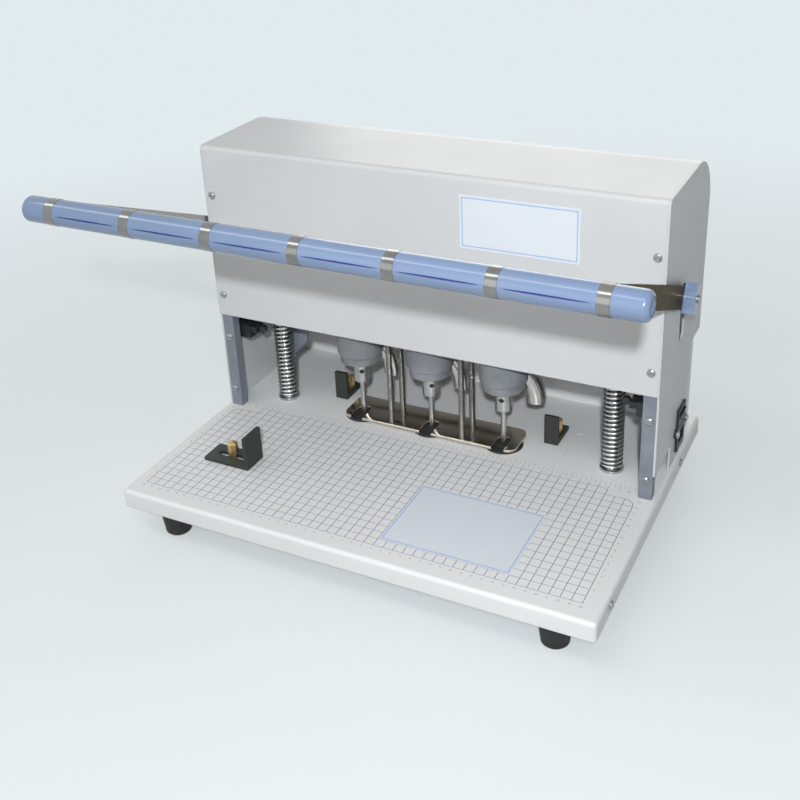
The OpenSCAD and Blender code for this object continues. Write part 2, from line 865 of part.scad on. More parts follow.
module racks() {
    low_teeth = ceil(stroke / tooth_pitch) + 1;
    high_teeth = 1;
    top = axle_height + (high_teeth + 1.5) * tooth_pitch;
    color(steel) both_sides() along_x(rack_x, rack_x + rack_w) {
        rect(beam_front, beam_top, rack_root_y, top);
        for (i = [-low_teeth:high_teeth])
            translate([pitch_y, axle_height + (i + 0.5) * tooth_pitch]) rack_tooth();
    }
}

module motors() {
    cap_h = 12;
    cap_step = 4;
    cap_taper = 6;
    color(dark_steel) for (x = heads) translate([x, line_y, beam_top]) {
        cylinder(d = motor_d, h = motor_h - cap_h);
        translate([0, 0, motor_h - cap_h])
            cylinder(d1 = motor_d - cap_step, d2 = motor_d - cap_step - cap_taper, h = cap_h);
    }
}

// A chip tube leaves its head's flange towards the right and back, and bends down to its mouth
tube_turn = 42;
tube_space = 4.5;
tube_start = head_nose_d / 2 + tube_space;
elbow_x = tube_start - tube_bend_r * cos(tube_lean);
elbow_z = flange_low - tube_bend_r * sin(tube_lean);
// The elbow's whole end lies above the flange's underside, where it is cut off, and its bore ends below
elbow_turn = asin(tube_bend_r * sin(tube_lean) / (tube_bend_r - tube_d / 2)) + over;
bore_turn = asin((tube_bend_r * sin(tube_lean) - tube_wall) / (tube_bend_r + tube_d / 2));
// The head is cut along the tube's lean halfway down its steps, with room for the bend
nose_lean = asin(sin(tube_lean) - 2 * head_step / tube_bend_r);
cut_lean = (tube_lean + nose_lean) / 2;
tube_room = 1.6;

// A tube's elbow between two angles, for its outside or its bore
module elbow(d, from, to) {
    translate([elbow_x, 0, elbow_z]) rotate([90, -from, 0]) rotate_extrude(angle = to - from)
        translate([tube_bend_r, 0]) circle(d = d);
}

module gear_heads() {
    color(dark_steel) for (x = heads) translate([x, line_y, 0]) difference() {
        union() {
            translate([0, 0, flange_low]) cylinder(d = head_d, h = beam_low - flange_low);
            translate([0, 0, head_low + head_step]) cylinder(d = head_ring_d, h = head_step);
            translate([0, 0, head_low]) cylinder(d = head_nose_d, h = head_step);
        }
        translate([0, 0, head_low - over]) cylinder(d = spindle_d + 2 * fit, h = spindle_l + gap + over);
        intersection() {
            rotate(tube_turn) translate([tube_start, 0, flange_low]) rotate([0, 180 - cut_lean, 0])
                translate([0, 0, -tube_d]) cylinder(d = tube_d + 2 * tube_room, h = 3 * tube_d);
            translate([0, 0, head_low - over]) cylinder(d = 2 * head_d, h = flange_low - head_low + over);
        }
    }
}

module chip_tubes() {
    color(steel) for (x = heads) translate([x, line_y, 0]) rotate(tube_turn) difference() {
        elbow(tube_d, 0, elbow_turn);
        elbow(tube_d - 2 * tube_wall, -over, bore_turn);
        translate([0, 0, flange_low]) cylinder(d = 4 * head_d, h = 2 * tube_d);
    }
}

// Spindles

module chuck(x, turn) {
    screw_z = chuck_l * 0.55;
    edge = 1;
    set_screw_d = 5;
    set_screw_depth = 3;
    color(steel) translate([x, line_y, chuck_low]) difference() {
        union() {
            cylinder(d1 = chuck_d - 2 * edge, d2 = chuck_d, h = edge);
            translate([0, 0, edge]) cylinder(d = chuck_d, h = chuck_l - edge);
            cylinder(d = spindle_d, h = chuck_l + spindle_l);
        }
        translate([0, 0, -over]) cylinder(d = bit_d + 2 * fit, h = bit_grip + over);
        translate([0, 0, -over]) cylinder(d = bit_d - 2 * bit_wall, h = chuck_l + spindle_l + 2 * over);
        rotate(turn) translate([0, -chuck_d / 2 - over, screw_z]) rotate([-90, 0, 0])
            cylinder(d = set_screw_d, h = set_screw_depth + over);
    }
}

module chuck_left() {
    chuck(heads[0], 30);
}

module chuck_middle() {
    chuck(heads[1], 34);
}

module chuck_right() {
    chuck(heads[2], 6);
}

module bit(x) {
    edge = 0.7 * bit_wall;
    edge_h = 2 * edge;
    color(steel) translate([x, line_y, bit_tip]) difference() {
        union() {
            translate([0, 0, edge_h]) cylinder(d = bit_d, h = bit_l + bit_grip - edge_h);
            cylinder(d1 = bit_d - 2 * edge, d2 = bit_d, h = edge_h);
        }
        translate([0, 0, -over]) cylinder(d = bit_d - 2 * bit_wall, h = bit_l + bit_grip + 2 * over);
    }
}

module bit_left() {
    bit(heads[0]);
}

module bit_middle() {
    bit(heads[1]);
}

module bit_right() {
    bit(heads[2]);
}

// Press plate

module press_plate() {
    color(steel) translate([0, 0, press_low]) linear_extrude(press_t) difference() {
        round_rect(head_x - press_w / 2, line_y + press_back - press_d, head_x + press_w / 2,
            line_y + press_back, press_r);
        for (x = heads) {
            translate([x, line_y]) circle(d = notch_w);
            rect(x - notch_w / 2, line_y - press_d, x + notch_w / 2, line_y);
        }
    }
}

module press_rods() {
    color(steel) at_rods() {
        translate([0, 0, press_top]) cylinder(d = rod_d, h = collar_low + collar_h + over - press_top);
        translate([0, 0, collar_low]) cylinder(d = collar_d, h = collar_h);
    }
}

// Lever

// Puts an outline on the lever: its first axis runs from the axle to the bar
module on_lever() {
    translate([axle_y, axle_height]) rotate(180 - arm_tilt) children();
}

module lever_arm() {
    difference() {
        union() {
            along_x(arm_x, hub_x) on_lever() {
                rect(0, -arm_w / 2, arm_l, arm_w / 2);
                circle(d = arm_w + axle_rim);
            }
            bar_x(2 * collar_reach, arm_x, collar_end, bar_y, bar_z);
        }
        bar_x(axle_d + 2 * fit, arm_x - over, hub_x + over, axle_y, axle_height);
        bar_x(core_d + 2 * fit, arm_x - over, collar_end + over, bar_y, bar_z);
    }
}

module lever_arm_left() {
    color(steel) mirror([1, 0, 0]) lever_arm();
}

module lever_arm_right() {
    color(steel) lever_arm();
}

module bar_core() {
    end = collar_end + cap_l - cap_wall;
    color(dark_steel) difference() {
        bar_x(core_d, -end, end, bar_y, bar_z);
        bar_x(core_d - 2 * core_wall, -end - over, end + over, bar_y, bar_z);
    }
}

// A ring round the core between two places along the bar
module ring_x(d, x0, x1) {
    along_x(x0, x1) translate([bar_y, bar_z]) difference() {
        circle(d = d);
        circle(d = core_d + 2 * fit);
    }
}

module grip_sleeves() {
    color(blue) {
        for (i = [-2:1])
            ring_x(grip_d, i * band_pitch + band_w / 2 + fit, (i + 1) * band_pitch - band_w / 2 - fit);
        both_sides() ring_x(grip_d, 2 * band_pitch + band_w / 2 + fit, arm_x - fit);
    }
}

module grip_bands() {
    color(steel) for (i = [-2:2])
        ring_x(2 * collar_reach, i * band_pitch - band_w / 2, i * band_pitch + band_w / 2);
}

module bar_cap() {
    start = collar_end + fit;
    difference() {
        translate([start, bar_y, bar_z]) rotate([0, 90, 0]) rotate_extrude() {
            rect(0, 0, grip_d / 2, cap_l - cap_r);
            rect(0, cap_l - cap_r - over, grip_d / 2 - cap_r, cap_l);
            intersection() {
                translate([grip_d / 2 - cap_r, cap_l - cap_r]) circle(cap_r);
                rect(0, 0, grip_d, cap_l);
            }
        }
        bar_x(core_d + 2 * fit, start - over, start + cap_l - cap_wall + gap, bar_y, bar_z);
    }
}

module bar_caps() {
    color(blue) both_sides() bar_cap();
}

module lever_hubs() {
    color(blue) both_sides() difference() {
        along_x(hub_x, hub_end) on_lever() {
            circle(d = hub_h);
            rect(0, -hub_h / 2, hub_h * 0.45, hub_h / 2);
        }
        bar_x(axle_d + 2 * fit, hub_x - over, axle_end + fit, axle_y, axle_height);
        translate([hub_end, axle_y, axle_height]) to_right() screw_hole();
    }
}

module hub_screws() {
    color(steel) both_sides() translate([hub_end, axle_y, axle_height]) to_right() screw();
}

// An axle passes behind its column, and is turned down there if the column stands close
module lever_axles() {
    tail = 2;
    neck_d = 2 * (axle_back - column_d / 2 - gap);
    neck_half = column_d / 2 + gap;
    color(steel) both_sides() difference() {
        union() {
            bar_x(axle_d, rack_x - tail, axle_end, axle_y, axle_height);
            bar_x(axle_d + 2 * axle_rim, half_w + gap, arm_x, axle_y, axle_height);
        }
        translate([hub_end, axle_y, axle_height]) to_right() screw_hole();
        difference() {
            bar_x(2 * axle_d, column_x - neck_half, column_x + neck_half, axle_y, axle_height);
            bar_x(neck_d, column_x - neck_half - over, column_x + neck_half + over, axle_y, axle_height);
        }
    }
}

module axle_bearings() {
    reach = axle_d / 2 + bearing_wall;
    corner = bearing_wall / 2;
    color(dark_steel) both_sides() along_x(bearing_x, inner_x) difference() {
        round_rect(axle_y - reach, axle_height - reach, axle_y + reach, axle_height + reach, corner);
        translate([axle_y, axle_height]) circle(d = axle_d + 2 * fit);
    }
}

// Half the angle of a sector tooth at a radius, from the involute of its base circle
function involute(a) = (tan(a) - a * PI / 180) * 180 / PI;
function half_tooth(r) = (tooth_pitch / 2 - backlash / 2) / 2 / sector_r * 180 / PI
    + involute(pressure) - involute(acos(min(1, base_r / r)));
tooth_tip_r = sector_r + tooth_tip;
tooth_foot_r = sector_r - tooth_root;
tooth_sunk_r = tooth_foot_r - gap;
flank_low = max(base_r, tooth_foot_r);
flank_steps = 4;
flank = [for (i = [0:flank_steps]) flank_low + i / flank_steps * (tooth_tip_r - flank_low)];
tooth_outline = concat([[tooth_sunk_r, -half_tooth(flank_low)]], [for (r = flank) [r, -half_tooth(r)]],
    [for (i = [flank_steps:-1:0]) [flank[i], half_tooth(flank[i])]], [[tooth_sunk_r, half_tooth(flank_low)]]);

module sector_tooth() {
    polygon([for (p = tooth_outline) p[0] * [cos(p[1]), sin(p[1])]]);
}

module toothed_sectors() {
    last = ceil(swing / tooth_angle) + 1;
    color(steel) both_sides() along_x(rack_x, rack_x + rack_w) translate([axle_y, axle_height]) difference() {
        union() {
            circle(hub_disc_r);
            // The web spans the teeth, from a little above the front to below it
            intersection() {
                circle(tooth_foot_r, $fn = 96);
                polygon([[0, 0], for (i = [-1.5, last / 3, 2 * last / 3, last + 0.5])
                    2 * sector_r * [cos(180 + i * tooth_angle), sin(180 + i * tooth_angle)]]);
            }
            for (i = [-1:last]) rotate(180 + i * tooth_angle) sector_tooth();
        }
        circle(d = axle_d + 2 * fit);
    }
}

// Stops

module thumb_screw(x, y, foot) {
    seat = stop_top + gap;
    neck_h = 3;
    neck_step = 2;
    groove_d = 1;
    color(brass) translate([x, y, 0]) {
        translate([0, 0, foot]) cylinder(d = thumb_d, h = seat - foot + over);
        translate([0, 0, seat]) cylinder(d = thumb_head_d - neck_step, h = neck_h);
        translate([0, 0, seat + neck_h]) difference() {
            cylinder(d = thumb_head_d, h = thumb_head_h);
            for (a = [0:20:340]) rotate(a) translate([thumb_head_d / 2, 0, -over])
                cylinder(d = groove_d, h = thumb_head_h + 2 * over);
        }
    }
}

module thumb_screw_side() {
    thumb_screw(side_thumb_x, side_stop_y, bed_top - nut_h);
}

module thumb_screw_left() {
    thumb_screw(rear_stops[0], rear_thumb_y, bed_z);
}

module thumb_screw_right() {
    thumb_screw(rear_stops[1], rear_thumb_y, bed_z);
}

module side_stop() {
    half = side_stop_w / 2;
    color(green_black) translate([side_stop_x, side_stop_y, stop_low]) {
        difference() {
            box([-side_stop_l, -half, 0], [0, half, stop_t]);
            translate([-side_stop_l / 2, 0, -over]) linear_extrude(stop_t + 2 * over)
                slot_shape(side_slot_run, slot_w);
        }
        box([-stop_t, -half, stop_t], [0, half, side_stop_h]);
    }
}

module rear_stop(x) {
    half = rear_stop_w / 2;
    color(green_black) translate([x, rear_stop_y, stop_low]) {
        difference() {
            box([-half, 0, 0], [half, rear_stop_l, stop_t]);
            translate([0, rear_thumb_y - rear_stop_y, -over]) linear_extrude(stop_t + 2 * over)
                rotate(90) slot_shape(rear_slot_run, slot_w);
        }
        box([-half, 0, stop_t], [half, stop_t, rear_stop_h]);
    }
}

module rear_stop_left() {
    rear_stop(rear_stops[0]);
}

module rear_stop_right() {
    rear_stop(rear_stops[1]);
}

// Power inlet and switches

// The inlet's outline in Y and Z, drawn in by an inset
module inlet_section(inset) {
    half_y = inlet_w / 2 - inset;
    half_z = inlet_h / 2 - inset;
    rect(inlet_y - half_y, inlet_mid - half_z, inlet_y + half_y, inlet_mid + half_z);
}

module power_inlet() {
    ear_h = screw_head_d + 1;
    well_space = 2;
    color(black) difference() {
        union() {
            along_x(half_w, inlet_face) {
                inlet_section(0);
                translate([inlet_y, inlet_mid]) slot_shape(2 * ear_y + ear_h, ear_h);
            }
            along_x(half_w - inlet_depth, half_w) inlet_section(inlet_lip);
        }
        // Socket for the lead and well for the rocker
        along_x(socket_floor, inlet_face + over) rect(inlet_y - socket_half[0], socket_z - socket_half[1],
            inlet_y + socket_half[0], socket_z + socket_half[1]);
        box([half_w - rocker_well, inlet_y - rocker_w / 2 - gap, rocker_z - rocker_h / 2 - well_space],
            [inlet_face + over, inlet_y + rocker_w / 2 + gap, rocker_z + rocker_h / 2 + well_space]);
        rocker_axle(2 * fit, rocker_pin + fit);
        at_inlet_screws() screw_hole();
    }
}

// The rocker's pin and its hole, which is wider and longer
module rocker_axle(spare, reach) {
    l = rocker_w + 2 * reach;
    translate([half_w, inlet_y - l / 2, rocker_z]) rotate([-90, 0, 0]) cylinder(d = pin_d + spare, h = l);
}

module rocker_switch() {
    foot = [-4, 3];
    edge = [inlet_flange_t + 0.9, rocker_h / 2];
    dip = [inlet_flange_t, 0];
    color([0.6, 0.1, 0.08]) {
        rocker_axle(0, rocker_pin);
        translate([half_w, 0, rocker_z]) rotate([0, rocker_tilt, 0])
            translate([0, inlet_y - rocker_w / 2, 0]) rotate([-90, 0, 0]) linear_extrude(rocker_w)
                polygon([[foot.x, -foot.y], [edge.x, -edge.y], dip, edge, foot]);
    }
}

module inlet_pins() {
    pin_l = 13;
    blade = [2, 4];
    color(brass) for (p = [[-6, -2], [6, -2], [0, 2.5]])
        translate([socket_floor, inlet_y + p.x - blade.x / 2, socket_z + p.y - blade.y / 2])
            cube([pin_l, blade.x, blade.y]);
}

module inlet_screws() {
    color(steel) at_inlet_screws() screw();
}

module limit_switches() {
    x0 = inner_x - switch_l;
    half = switch_w / 2;
    ear_r = pin_d / 2 + 2;
    color(black) both_sides() difference() {
        union() {
            box([x0, switch_y - half, switch_low], [inner_x, switch_y + half, switch_low + switch_h]);
            for (y = [switch_y - ear_space - ear_t, switch_y + ear_space])
                box([lever_pin_x - ear_r, y, lever_pin_z - ear_r],
                    [x0 + over, y + ear_t, lever_pin_z + ear_r]);
        }
        translate([lever_pin_x, switch_y - half, lever_pin_z]) rotate([-90, 0, 0])
            cylinder(d = pin_d + 2 * fit, h = switch_w);
    }
}

// The right switch's lever: a pin, an arm and a roller that faces the carriage
module limit_lever() {
    roller_d = 8;
    arm = 8;
    arm_half = 1.2;
    pin_half = ear_space + ear_t;
    color(dark_steel) translate([lever_pin_x, switch_y, lever_pin_z]) rotate([-90, 0, 0]) {
        translate([0, 0, -pin_half]) cylinder(d = pin_d, h = 2 * pin_half);
        translate([0, 0, -lever_w / 2]) linear_extrude(lever_w) {
            circle(d = pin_d + 2 * arm_half);
            rect(-arm, -arm_half, 0, arm_half);
            translate([-arm, 0]) circle(d = roller_d);
        }
    }
}

module limit_lever_left() {
    mirror([1, 0, 0]) limit_lever();
}

module limit_lever_right() {
    limit_lever();
}

base_tray();
steel_bed();
bottom_plate();
rubber_feet();
tray_screws();
drill_pads();
side_plate_left();
side_plate_right();
hood();
hood_screws();
blank_plate();
rear_cabinet();
front_posts();
post_screws();
guide_columns();
spring_seats();
top_beam();
return_spring_left();
return_spring_right();
axle_bearings();
power_inlet();
inlet_pins();
inlet_screws();
rocker_switch();
limit_switches();
limit_lever_left();
limit_lever_right();
carriage_beam();
hanging_bracket();
guide_bushes();
racks();
motors();
gear_heads();
chip_tubes();
chuck_left();
chuck_middle();
chuck_right();
bit_left();
bit_middle();
bit_right();
press_plate();
press_rods();
lever_arm_left();
lever_arm_right();
bar_core();
grip_sleeves();
grip_bands();
bar_caps();
lever_hubs();
hub_screws();
lever_axles();
toothed_sectors();
side_stop();
rear_stop_left();
rear_stop_right();
thumb_screw_side();
thumb_screw_left();
thumb_screw_right();
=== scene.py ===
"""Dresses a packed three-spindle paper drill with its finishes, print, springs and studio."""
import json
from math import cos, pi, radians, sin, tau

import bmesh
import bpy
from bpy.props import FloatProperty, FloatVectorProperty, IntProperty, PointerProperty
from mathutils import Matrix, Vector


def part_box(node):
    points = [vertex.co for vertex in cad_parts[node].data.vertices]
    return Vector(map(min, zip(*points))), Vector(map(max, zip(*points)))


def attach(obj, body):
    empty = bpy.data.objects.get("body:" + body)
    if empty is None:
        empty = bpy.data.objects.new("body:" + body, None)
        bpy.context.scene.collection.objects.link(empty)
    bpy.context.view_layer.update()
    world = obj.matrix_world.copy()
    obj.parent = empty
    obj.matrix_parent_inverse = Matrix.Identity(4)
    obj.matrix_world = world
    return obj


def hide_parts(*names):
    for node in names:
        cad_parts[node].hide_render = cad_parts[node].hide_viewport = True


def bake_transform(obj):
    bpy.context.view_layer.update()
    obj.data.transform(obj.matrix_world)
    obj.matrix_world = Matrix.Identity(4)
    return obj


bl_info = {
    "name": "Paper Drill Dressing",
    "version": (1, 0, 0),
    "blender": (4, 5, 0),
    "location": "3D View > Sidebar > Paper Drill",
    "description": "Finishes, print, springs and studio for a bench paper drill",
    "category": "Object",
}

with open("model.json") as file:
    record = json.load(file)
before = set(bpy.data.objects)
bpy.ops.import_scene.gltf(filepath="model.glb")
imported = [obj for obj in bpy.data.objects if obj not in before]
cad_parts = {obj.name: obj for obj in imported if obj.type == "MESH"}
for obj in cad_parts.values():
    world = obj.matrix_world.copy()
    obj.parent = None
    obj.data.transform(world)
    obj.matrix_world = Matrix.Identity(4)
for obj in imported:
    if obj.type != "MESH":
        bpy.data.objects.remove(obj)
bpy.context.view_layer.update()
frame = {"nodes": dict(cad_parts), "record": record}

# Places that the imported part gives
TABLE_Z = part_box("base_tray")[1].z
LINE_Y = sum(corner.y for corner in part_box("guide_columns")) / 2
BAR = sum(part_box("bar_core"), Vector()) / 2
GRIP_R = (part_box("grip_sleeves")[1].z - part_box("grip_sleeves")[0].z) / 2
HEAD_XS = [sum(corner.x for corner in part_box("bit_" + side)) / 2 for side in ("left", "middle", "right")]
NODE_SLOT = {row["node"]: row["material_slot"] for row in frame["record"]["subparts"]}
MM = 0.001
# Front left corner of the ruled field, from the middle and from the line of the drills
FIELD_LEFT, FIELD_FRONT = -232.3 * MM, -206.5 * MM
SEEN_RAYS = ("Is Camera Ray", "Is Glossy Ray", "Is Transmission Ray")


def colour_prop(name, description, default):
    """A colour that a user may change."""
    return FloatVectorProperty(name=name, description=description, default=default, size=3, min=0, max=1,
                               subtype="COLOR")


def length_prop(name, description, default):
    """A length that a user may change."""
    return FloatProperty(name=name, description=description, default=default, min=0, unit="LENGTH")


class DrillColours(bpy.types.PropertyGroup):
    """Colours of the drill's finishes"""
    enamel: colour_prop("Enamel", "Stoved enamel of the housing", (0.61, 0.622, 0.635))
    table: colour_prop("Table", "Printed white of the table", (0.77, 0.778, 0.782))
    castings: colour_prop("Castings", "Blue-grey paint of the posts and beams", (0.21, 0.235, 0.275))
    heads: colour_prop("Gear heads", "Paint of the gear heads", (0.23, 0.243, 0.262))
    steel: colour_prop("Steel", "Machined steel of the drive", (0.50, 0.51, 0.53))
    chrome: colour_prop("Chrome", "Polished columns, axles and chip tubes", (0.70, 0.69, 0.67))
    satin: colour_prop("Satin steel", "Chucks and hollow bits", (0.58, 0.58, 0.58))
    left_arm: colour_prop("Left arm", "Brushed flat bar of the left lever arm", (0.48, 0.475, 0.46))
    # Painted shade: the right arm is the same steel bar as the left arm, coloured near-black to paint the
    # dark reflection on its shaded outer face.
    right_arm: colour_prop("Right arm", "Oiled flat bar of the right lever arm", (0.075, 0.062, 0.047))
    glance: colour_prop("Glance", "Tint of the right arm seen at a low angle", (0.64, 0.58, 0.50))
    # Painted reflection: the press plate is chrome, and this warm colour stands for the gold reflection of
    # the shaded rear wall.
    plate: colour_prop("Press plate", "Warm polished steel of the press plate", (0.70, 0.63, 0.53))
    wire: colour_prop("Spring wire", "Drawn wire of the return springs", (0.62, 0.62, 0.62))
    rods: colour_prop("Press rods", "Dark steel of the press rods", (0.27, 0.26, 0.25))
    bands: colour_prop("Bands", "Bright steel of the bands round the bar", (0.31, 0.305, 0.295))
    zinc: colour_prop("Zinc", "Plated screws", (0.44, 0.445, 0.46))
    grip: colour_prop("Grip", "Glossy plastic of the lever bar", (0.19, 0.265, 0.42))
    # Painted shade: the dark line along a grip stands for the shade in a moulded groove.
    grip_line: colour_prop("Grip line", "Moulded line along a grip", (0.02, 0.03, 0.22))
    black: colour_prop("Black", "Moulded black plastic", (0.02, 0.02, 0.021))
    rubber: colour_prop("Rubber", "Feet and drilling pads", (0.016, 0.016, 0.016))
    stops: colour_prop("Stops", "Dark enamel of the paper stops", (0.026, 0.032, 0.027))
    brass: colour_prop("Brass", "Turned thumb screws", (0.76, 0.56, 0.26))
    film: colour_prop("Film", "Bare label film", (0.69, 0.73, 0.79))
    ink: colour_prop("Ink", "Ruled lines on the table", (0.09, 0.13, 0.28))
    border: colour_prop("Border", "Line round a bare label", (0.20, 0.38, 0.72))
    floor: colour_prop("Floor", "Studio floor near the drill", (0.84, 0.87, 0.88))
    distance: colour_prop("Distance", "Studio floor further away", (0.76, 0.83, 0.86))


class DrillSizes(bpy.types.PropertyGroup):
    """Sizes of the pieces that dress the drill"""
    wire_d: length_prop("Wire", "Diameter of the spring wire", 2.8 * MM)
    coil_turns: IntProperty(name="Turns", description="Turns of a return spring", default=21, min=4)
    rod_d: length_prop("Press rod", "Diameter over a press rod's ribs", 6.5 * MM)
    rib_pitch: length_prop("Rib pitch", "Pitch of a press rod's ribs", 2.6 * MM)
    rib_depth: length_prop("Rib depth", "Height of a press rod's ribs", 0.65 * MM)
    plate_edge: length_prop("Plate edge", "Bevel of the press plate's upper edge", 1.4 * MM)
    thumb_d: length_prop("Thumb screw", "Diameter of a thumb screw's knurled head", 11 * MM)
    thumb_rise: length_prop("Thumb screw rise", "Height of a thumb screw above its stop", 15 * MM)
    set_screw_d: length_prop("Set screw", "Diameter of a chuck's set screw", 5.8 * MM)
    grid_pitch: length_prop("Grid pitch", "Side of a ruled square", 10 * MM)
    line_w: length_prop("Line width", "Width of a ruled line to the back", 0.7 * MM)
    cross_line_w: length_prop("Cross line width", "Width of a ruled line from side to side", 0.45 * MM)
    ink_t: length_prop("Ink thickness", "Rise of the print above the table", 0.03 * MM)
    digit_h: length_prop("Digit height", "Height of the ruler's digits", 3 * MM)
    border_w: length_prop("Border width", "Width of the line round a bare label", 0.9 * MM)
    # The line along a grip is a strip of painted shade for a moulded groove.
    grip_line_l: length_prop("Grip line length", "Length of the line along a grip", 66 * MM)
    grip_line_w: length_prop("Grip line width", "Width of the line along a grip", 1.5 * MM)


class DrillStudio(bpy.types.PropertyGroup):
    """Camera and light"""
    camera_at: FloatVectorProperty(name="Camera", description="Place of the camera", size=3, unit="LENGTH",
                                   subtype="TRANSLATION", default=(0.44996, -0.87065, 0.68707))
    azimuth: FloatProperty(name="Azimuth", description="Turn of the view to the right", subtype="ANGLE",
                           default=0.4849)
    elevation: FloatProperty(name="Elevation", description="Height of the view", subtype="ANGLE",
                             default=0.4333)
    roll: FloatProperty(name="Roll", description="Tilt of the view", subtype="ANGLE", default=-0.0465)
    lens: FloatProperty(name="Lens", description="Focal length", subtype="DISTANCE_CAMERA", unit="CAMERA",
                        default=50.36)
    shift: FloatProperty(name="Shift", description="Lens shift up", default=-0.125)
    key_power: FloatProperty(name="Key", description="Power of the light by the camera", subtype="POWER",
                             default=15.8)
    fill_power: FloatProperty(name="Fill", description="Power of the wide low light", subtype="POWER",
                              default=5.5)
    top_power: FloatProperty(name="Top", description="Power of the long strip light above", subtype="POWER",
                             default=38)
    back_power: FloatProperty(name="Back", description="Power of the soft light behind", subtype="POWER",
                              default=16)
    sky: FloatProperty(name="Sky", description="Strength of the light from all round", min=0, default=0.5)


# Shader maths

class Value:
    """A socket of a shader; arithmetic on it adds Math nodes."""

    def __init__(self, graph, socket):
        self.graph = graph
        self.socket = socket

    def __add__(self, other):
        return self.graph.math("ADD", self, other)

    __radd__ = __add__

    def __sub__(self, other):
        return self.graph.math("SUBTRACT", self, other)

    def __rsub__(self, other):
        return self.graph.math("SUBTRACT", other, self)

    def __mul__(self, other):
        return self.graph.math("MULTIPLY", self, other)

    __rmul__ = __mul__


class Graph:
    """A node tree under construction, of a material or of the world."""

    def __init__(self, tree):
        self.tree = tree

    def node(self, kind, settings=None, inputs=None, output=0):
        """Adds a node: its settings first, then the values or links of its sockets."""
        made = self.tree.nodes.new(kind)
        for key, value in (settings or {}).items():
            setattr(made, key, value)
        for key, value in (inputs or {}).items():
            if isinstance(value, Value):
                self.tree.links.new(value.socket, made.inputs[key])
            else:
                made.inputs[key].default_value = value
        return Value(self, made.outputs[output])

    def math(self, operation, first, second):
        return self.node("ShaderNodeMath", {"operation": operation}, {0: first, 1: second})

    def tint(self, factor, low, high):
        """A colour between two, by a factor."""
        inputs = {0: factor, 6: (*low, 1), 7: (*high, 1)}
        return self.node("ShaderNodeMix", {"data_type": "RGBA"}, inputs, 2)

    def steps(self, value, low, high):
        """A value from low to high, spread over 0 to 1."""
        return self.node("ShaderNodeMapRange", None, {0: value, 1: low, 2: high, 3: 0.0, 4: 1.0})

    def seen(self):
        """1 for rays that show the studio, straight or in a gloss or glass; 0 for rays that only light it."""
        return sum((self.node("ShaderNodeLightPath", output=ray) for ray in SEEN_RAYS), start=0.0)

    def surface(self, shader, output):
        """Links a shader to an output node."""
        self.tree.links.new(shader.socket, self.tree.nodes[output].inputs["Surface"])


class Look(Graph):
    """A material under construction, built on one Principled shader."""

    def __init__(self, name, **constants):
        self.material = bpy.data.materials.new(name)
        self.material.use_nodes = True
        super().__init__(self.material.node_tree)
        self.shader = self.tree.nodes["Principled BSDF"]
        for key, value in constants.items():
            socket = key.replace("_", " ").title().replace("Ior", "IOR")
            self.shader.inputs[socket].default_value = value
        self.place = self.node("ShaderNodeTexCoord", output="Object")

    def noise(self, scale, detail=2.0, stretch=(1, 1, 1)):
        """Noise with features of 1 / scale metres, drawn out along an axis by a small stretch."""
        where = self.node("ShaderNodeMapping", None, {"Vector": self.place, "Scale": stretch})
        return self.node("ShaderNodeTexNoise", None, {"Vector": where, "Scale": scale, "Detail": detail})

    def finish(self, colour=None, roughness=None, height=None, depth=0.0, edge=0.0):
        """Links what varies over the surface: colour, roughness and a bump over softened edges."""
        normal = None
        if edge:
            normal = self.node("ShaderNodeBevel", {"samples": 4}, {"Radius": edge})
        if height is not None:
            inputs = {"Strength": 1.0, "Distance": depth, "Height": height}
            if normal is not None:
                inputs["Normal"] = normal
            normal = self.node("ShaderNodeBump", None, inputs)
        for socket, value in (("Base Color", colour), ("Roughness", roughness), ("Normal", normal)):
            if value is not None:
                self.tree.links.new(value.socket, self.shader.inputs[socket])
        return self.material


def scaled(colour, factor):
    """A colour made darker or lighter by a factor."""
    return tuple(min(1.0, part * factor) for part in colour)


def enamel_look(name, colour):
    """Stoved enamel: a fine orange peel and slow clouds of dust and handling."""
    look = Look(name, ior=1.5)
    cloud = look.steps(look.noise(7, 4), 0.35, 0.7)
    peel = look.noise(420, 2)
    tone = look.tint(cloud, scaled(colour, 0.955), colour)
    return look.finish(tone, 0.30 + 0.12 * look.noise(23, 5), peel, 0.00006, 0.9 * MM)


def casting_look(name, colour):
    """Satin paint over a cast surface."""
    look = Look(name, ior=1.5)
    grain = look.noise(620, 4)
    cloud = look.steps(look.noise(40, 4), 0.3, 0.7)
    tone = look.tint(cloud, scaled(colour, 0.82), scaled(colour, 1.1))
    return look.finish(tone, 0.42 + 0.2 * grain, grain, 0.00022, 0.4 * MM)


def machined_look(name, colour, rough=0.3, stretch=(0.05, 1, 1), edge=0.4 * MM):
    """Bare steel with tool marks along one axis."""
    look = Look(name, metallic=1.0)
    marks = look.noise(1500, 3, stretch)
    stain = look.steps(look.noise(55, 5), 0.3, 0.75)
    tone = look.tint(stain, scaled(colour, 0.8), scaled(colour, 1.08))
    return look.finish(tone, (rough - 0.08) + 0.2 * marks, marks, 0.00002, edge)


def arm_look(name, colour, loop, glance):
    """A brushed steel arm with a loop round the bar like the bands; glance tints it at low angles."""
    look = Look(name, metallic=1.0, specular_tint=(*glance, 1))
    along = look.node("ShaderNodeSeparateXYZ", None, {"Vector": look.place}, "Y")
    blade = look.steps(along, BAR.y + GRIP_R, BAR.y + GRIP_R + 2 * MM)
    marks = look.noise(1500, 3, (1, 0.1, 0.1))
    tone = look.tint(blade, loop, colour)
    return look.finish(tone, 0.12 + 0.14 * blade + 0.16 * marks, marks, 0.00002, 0.4 * MM)


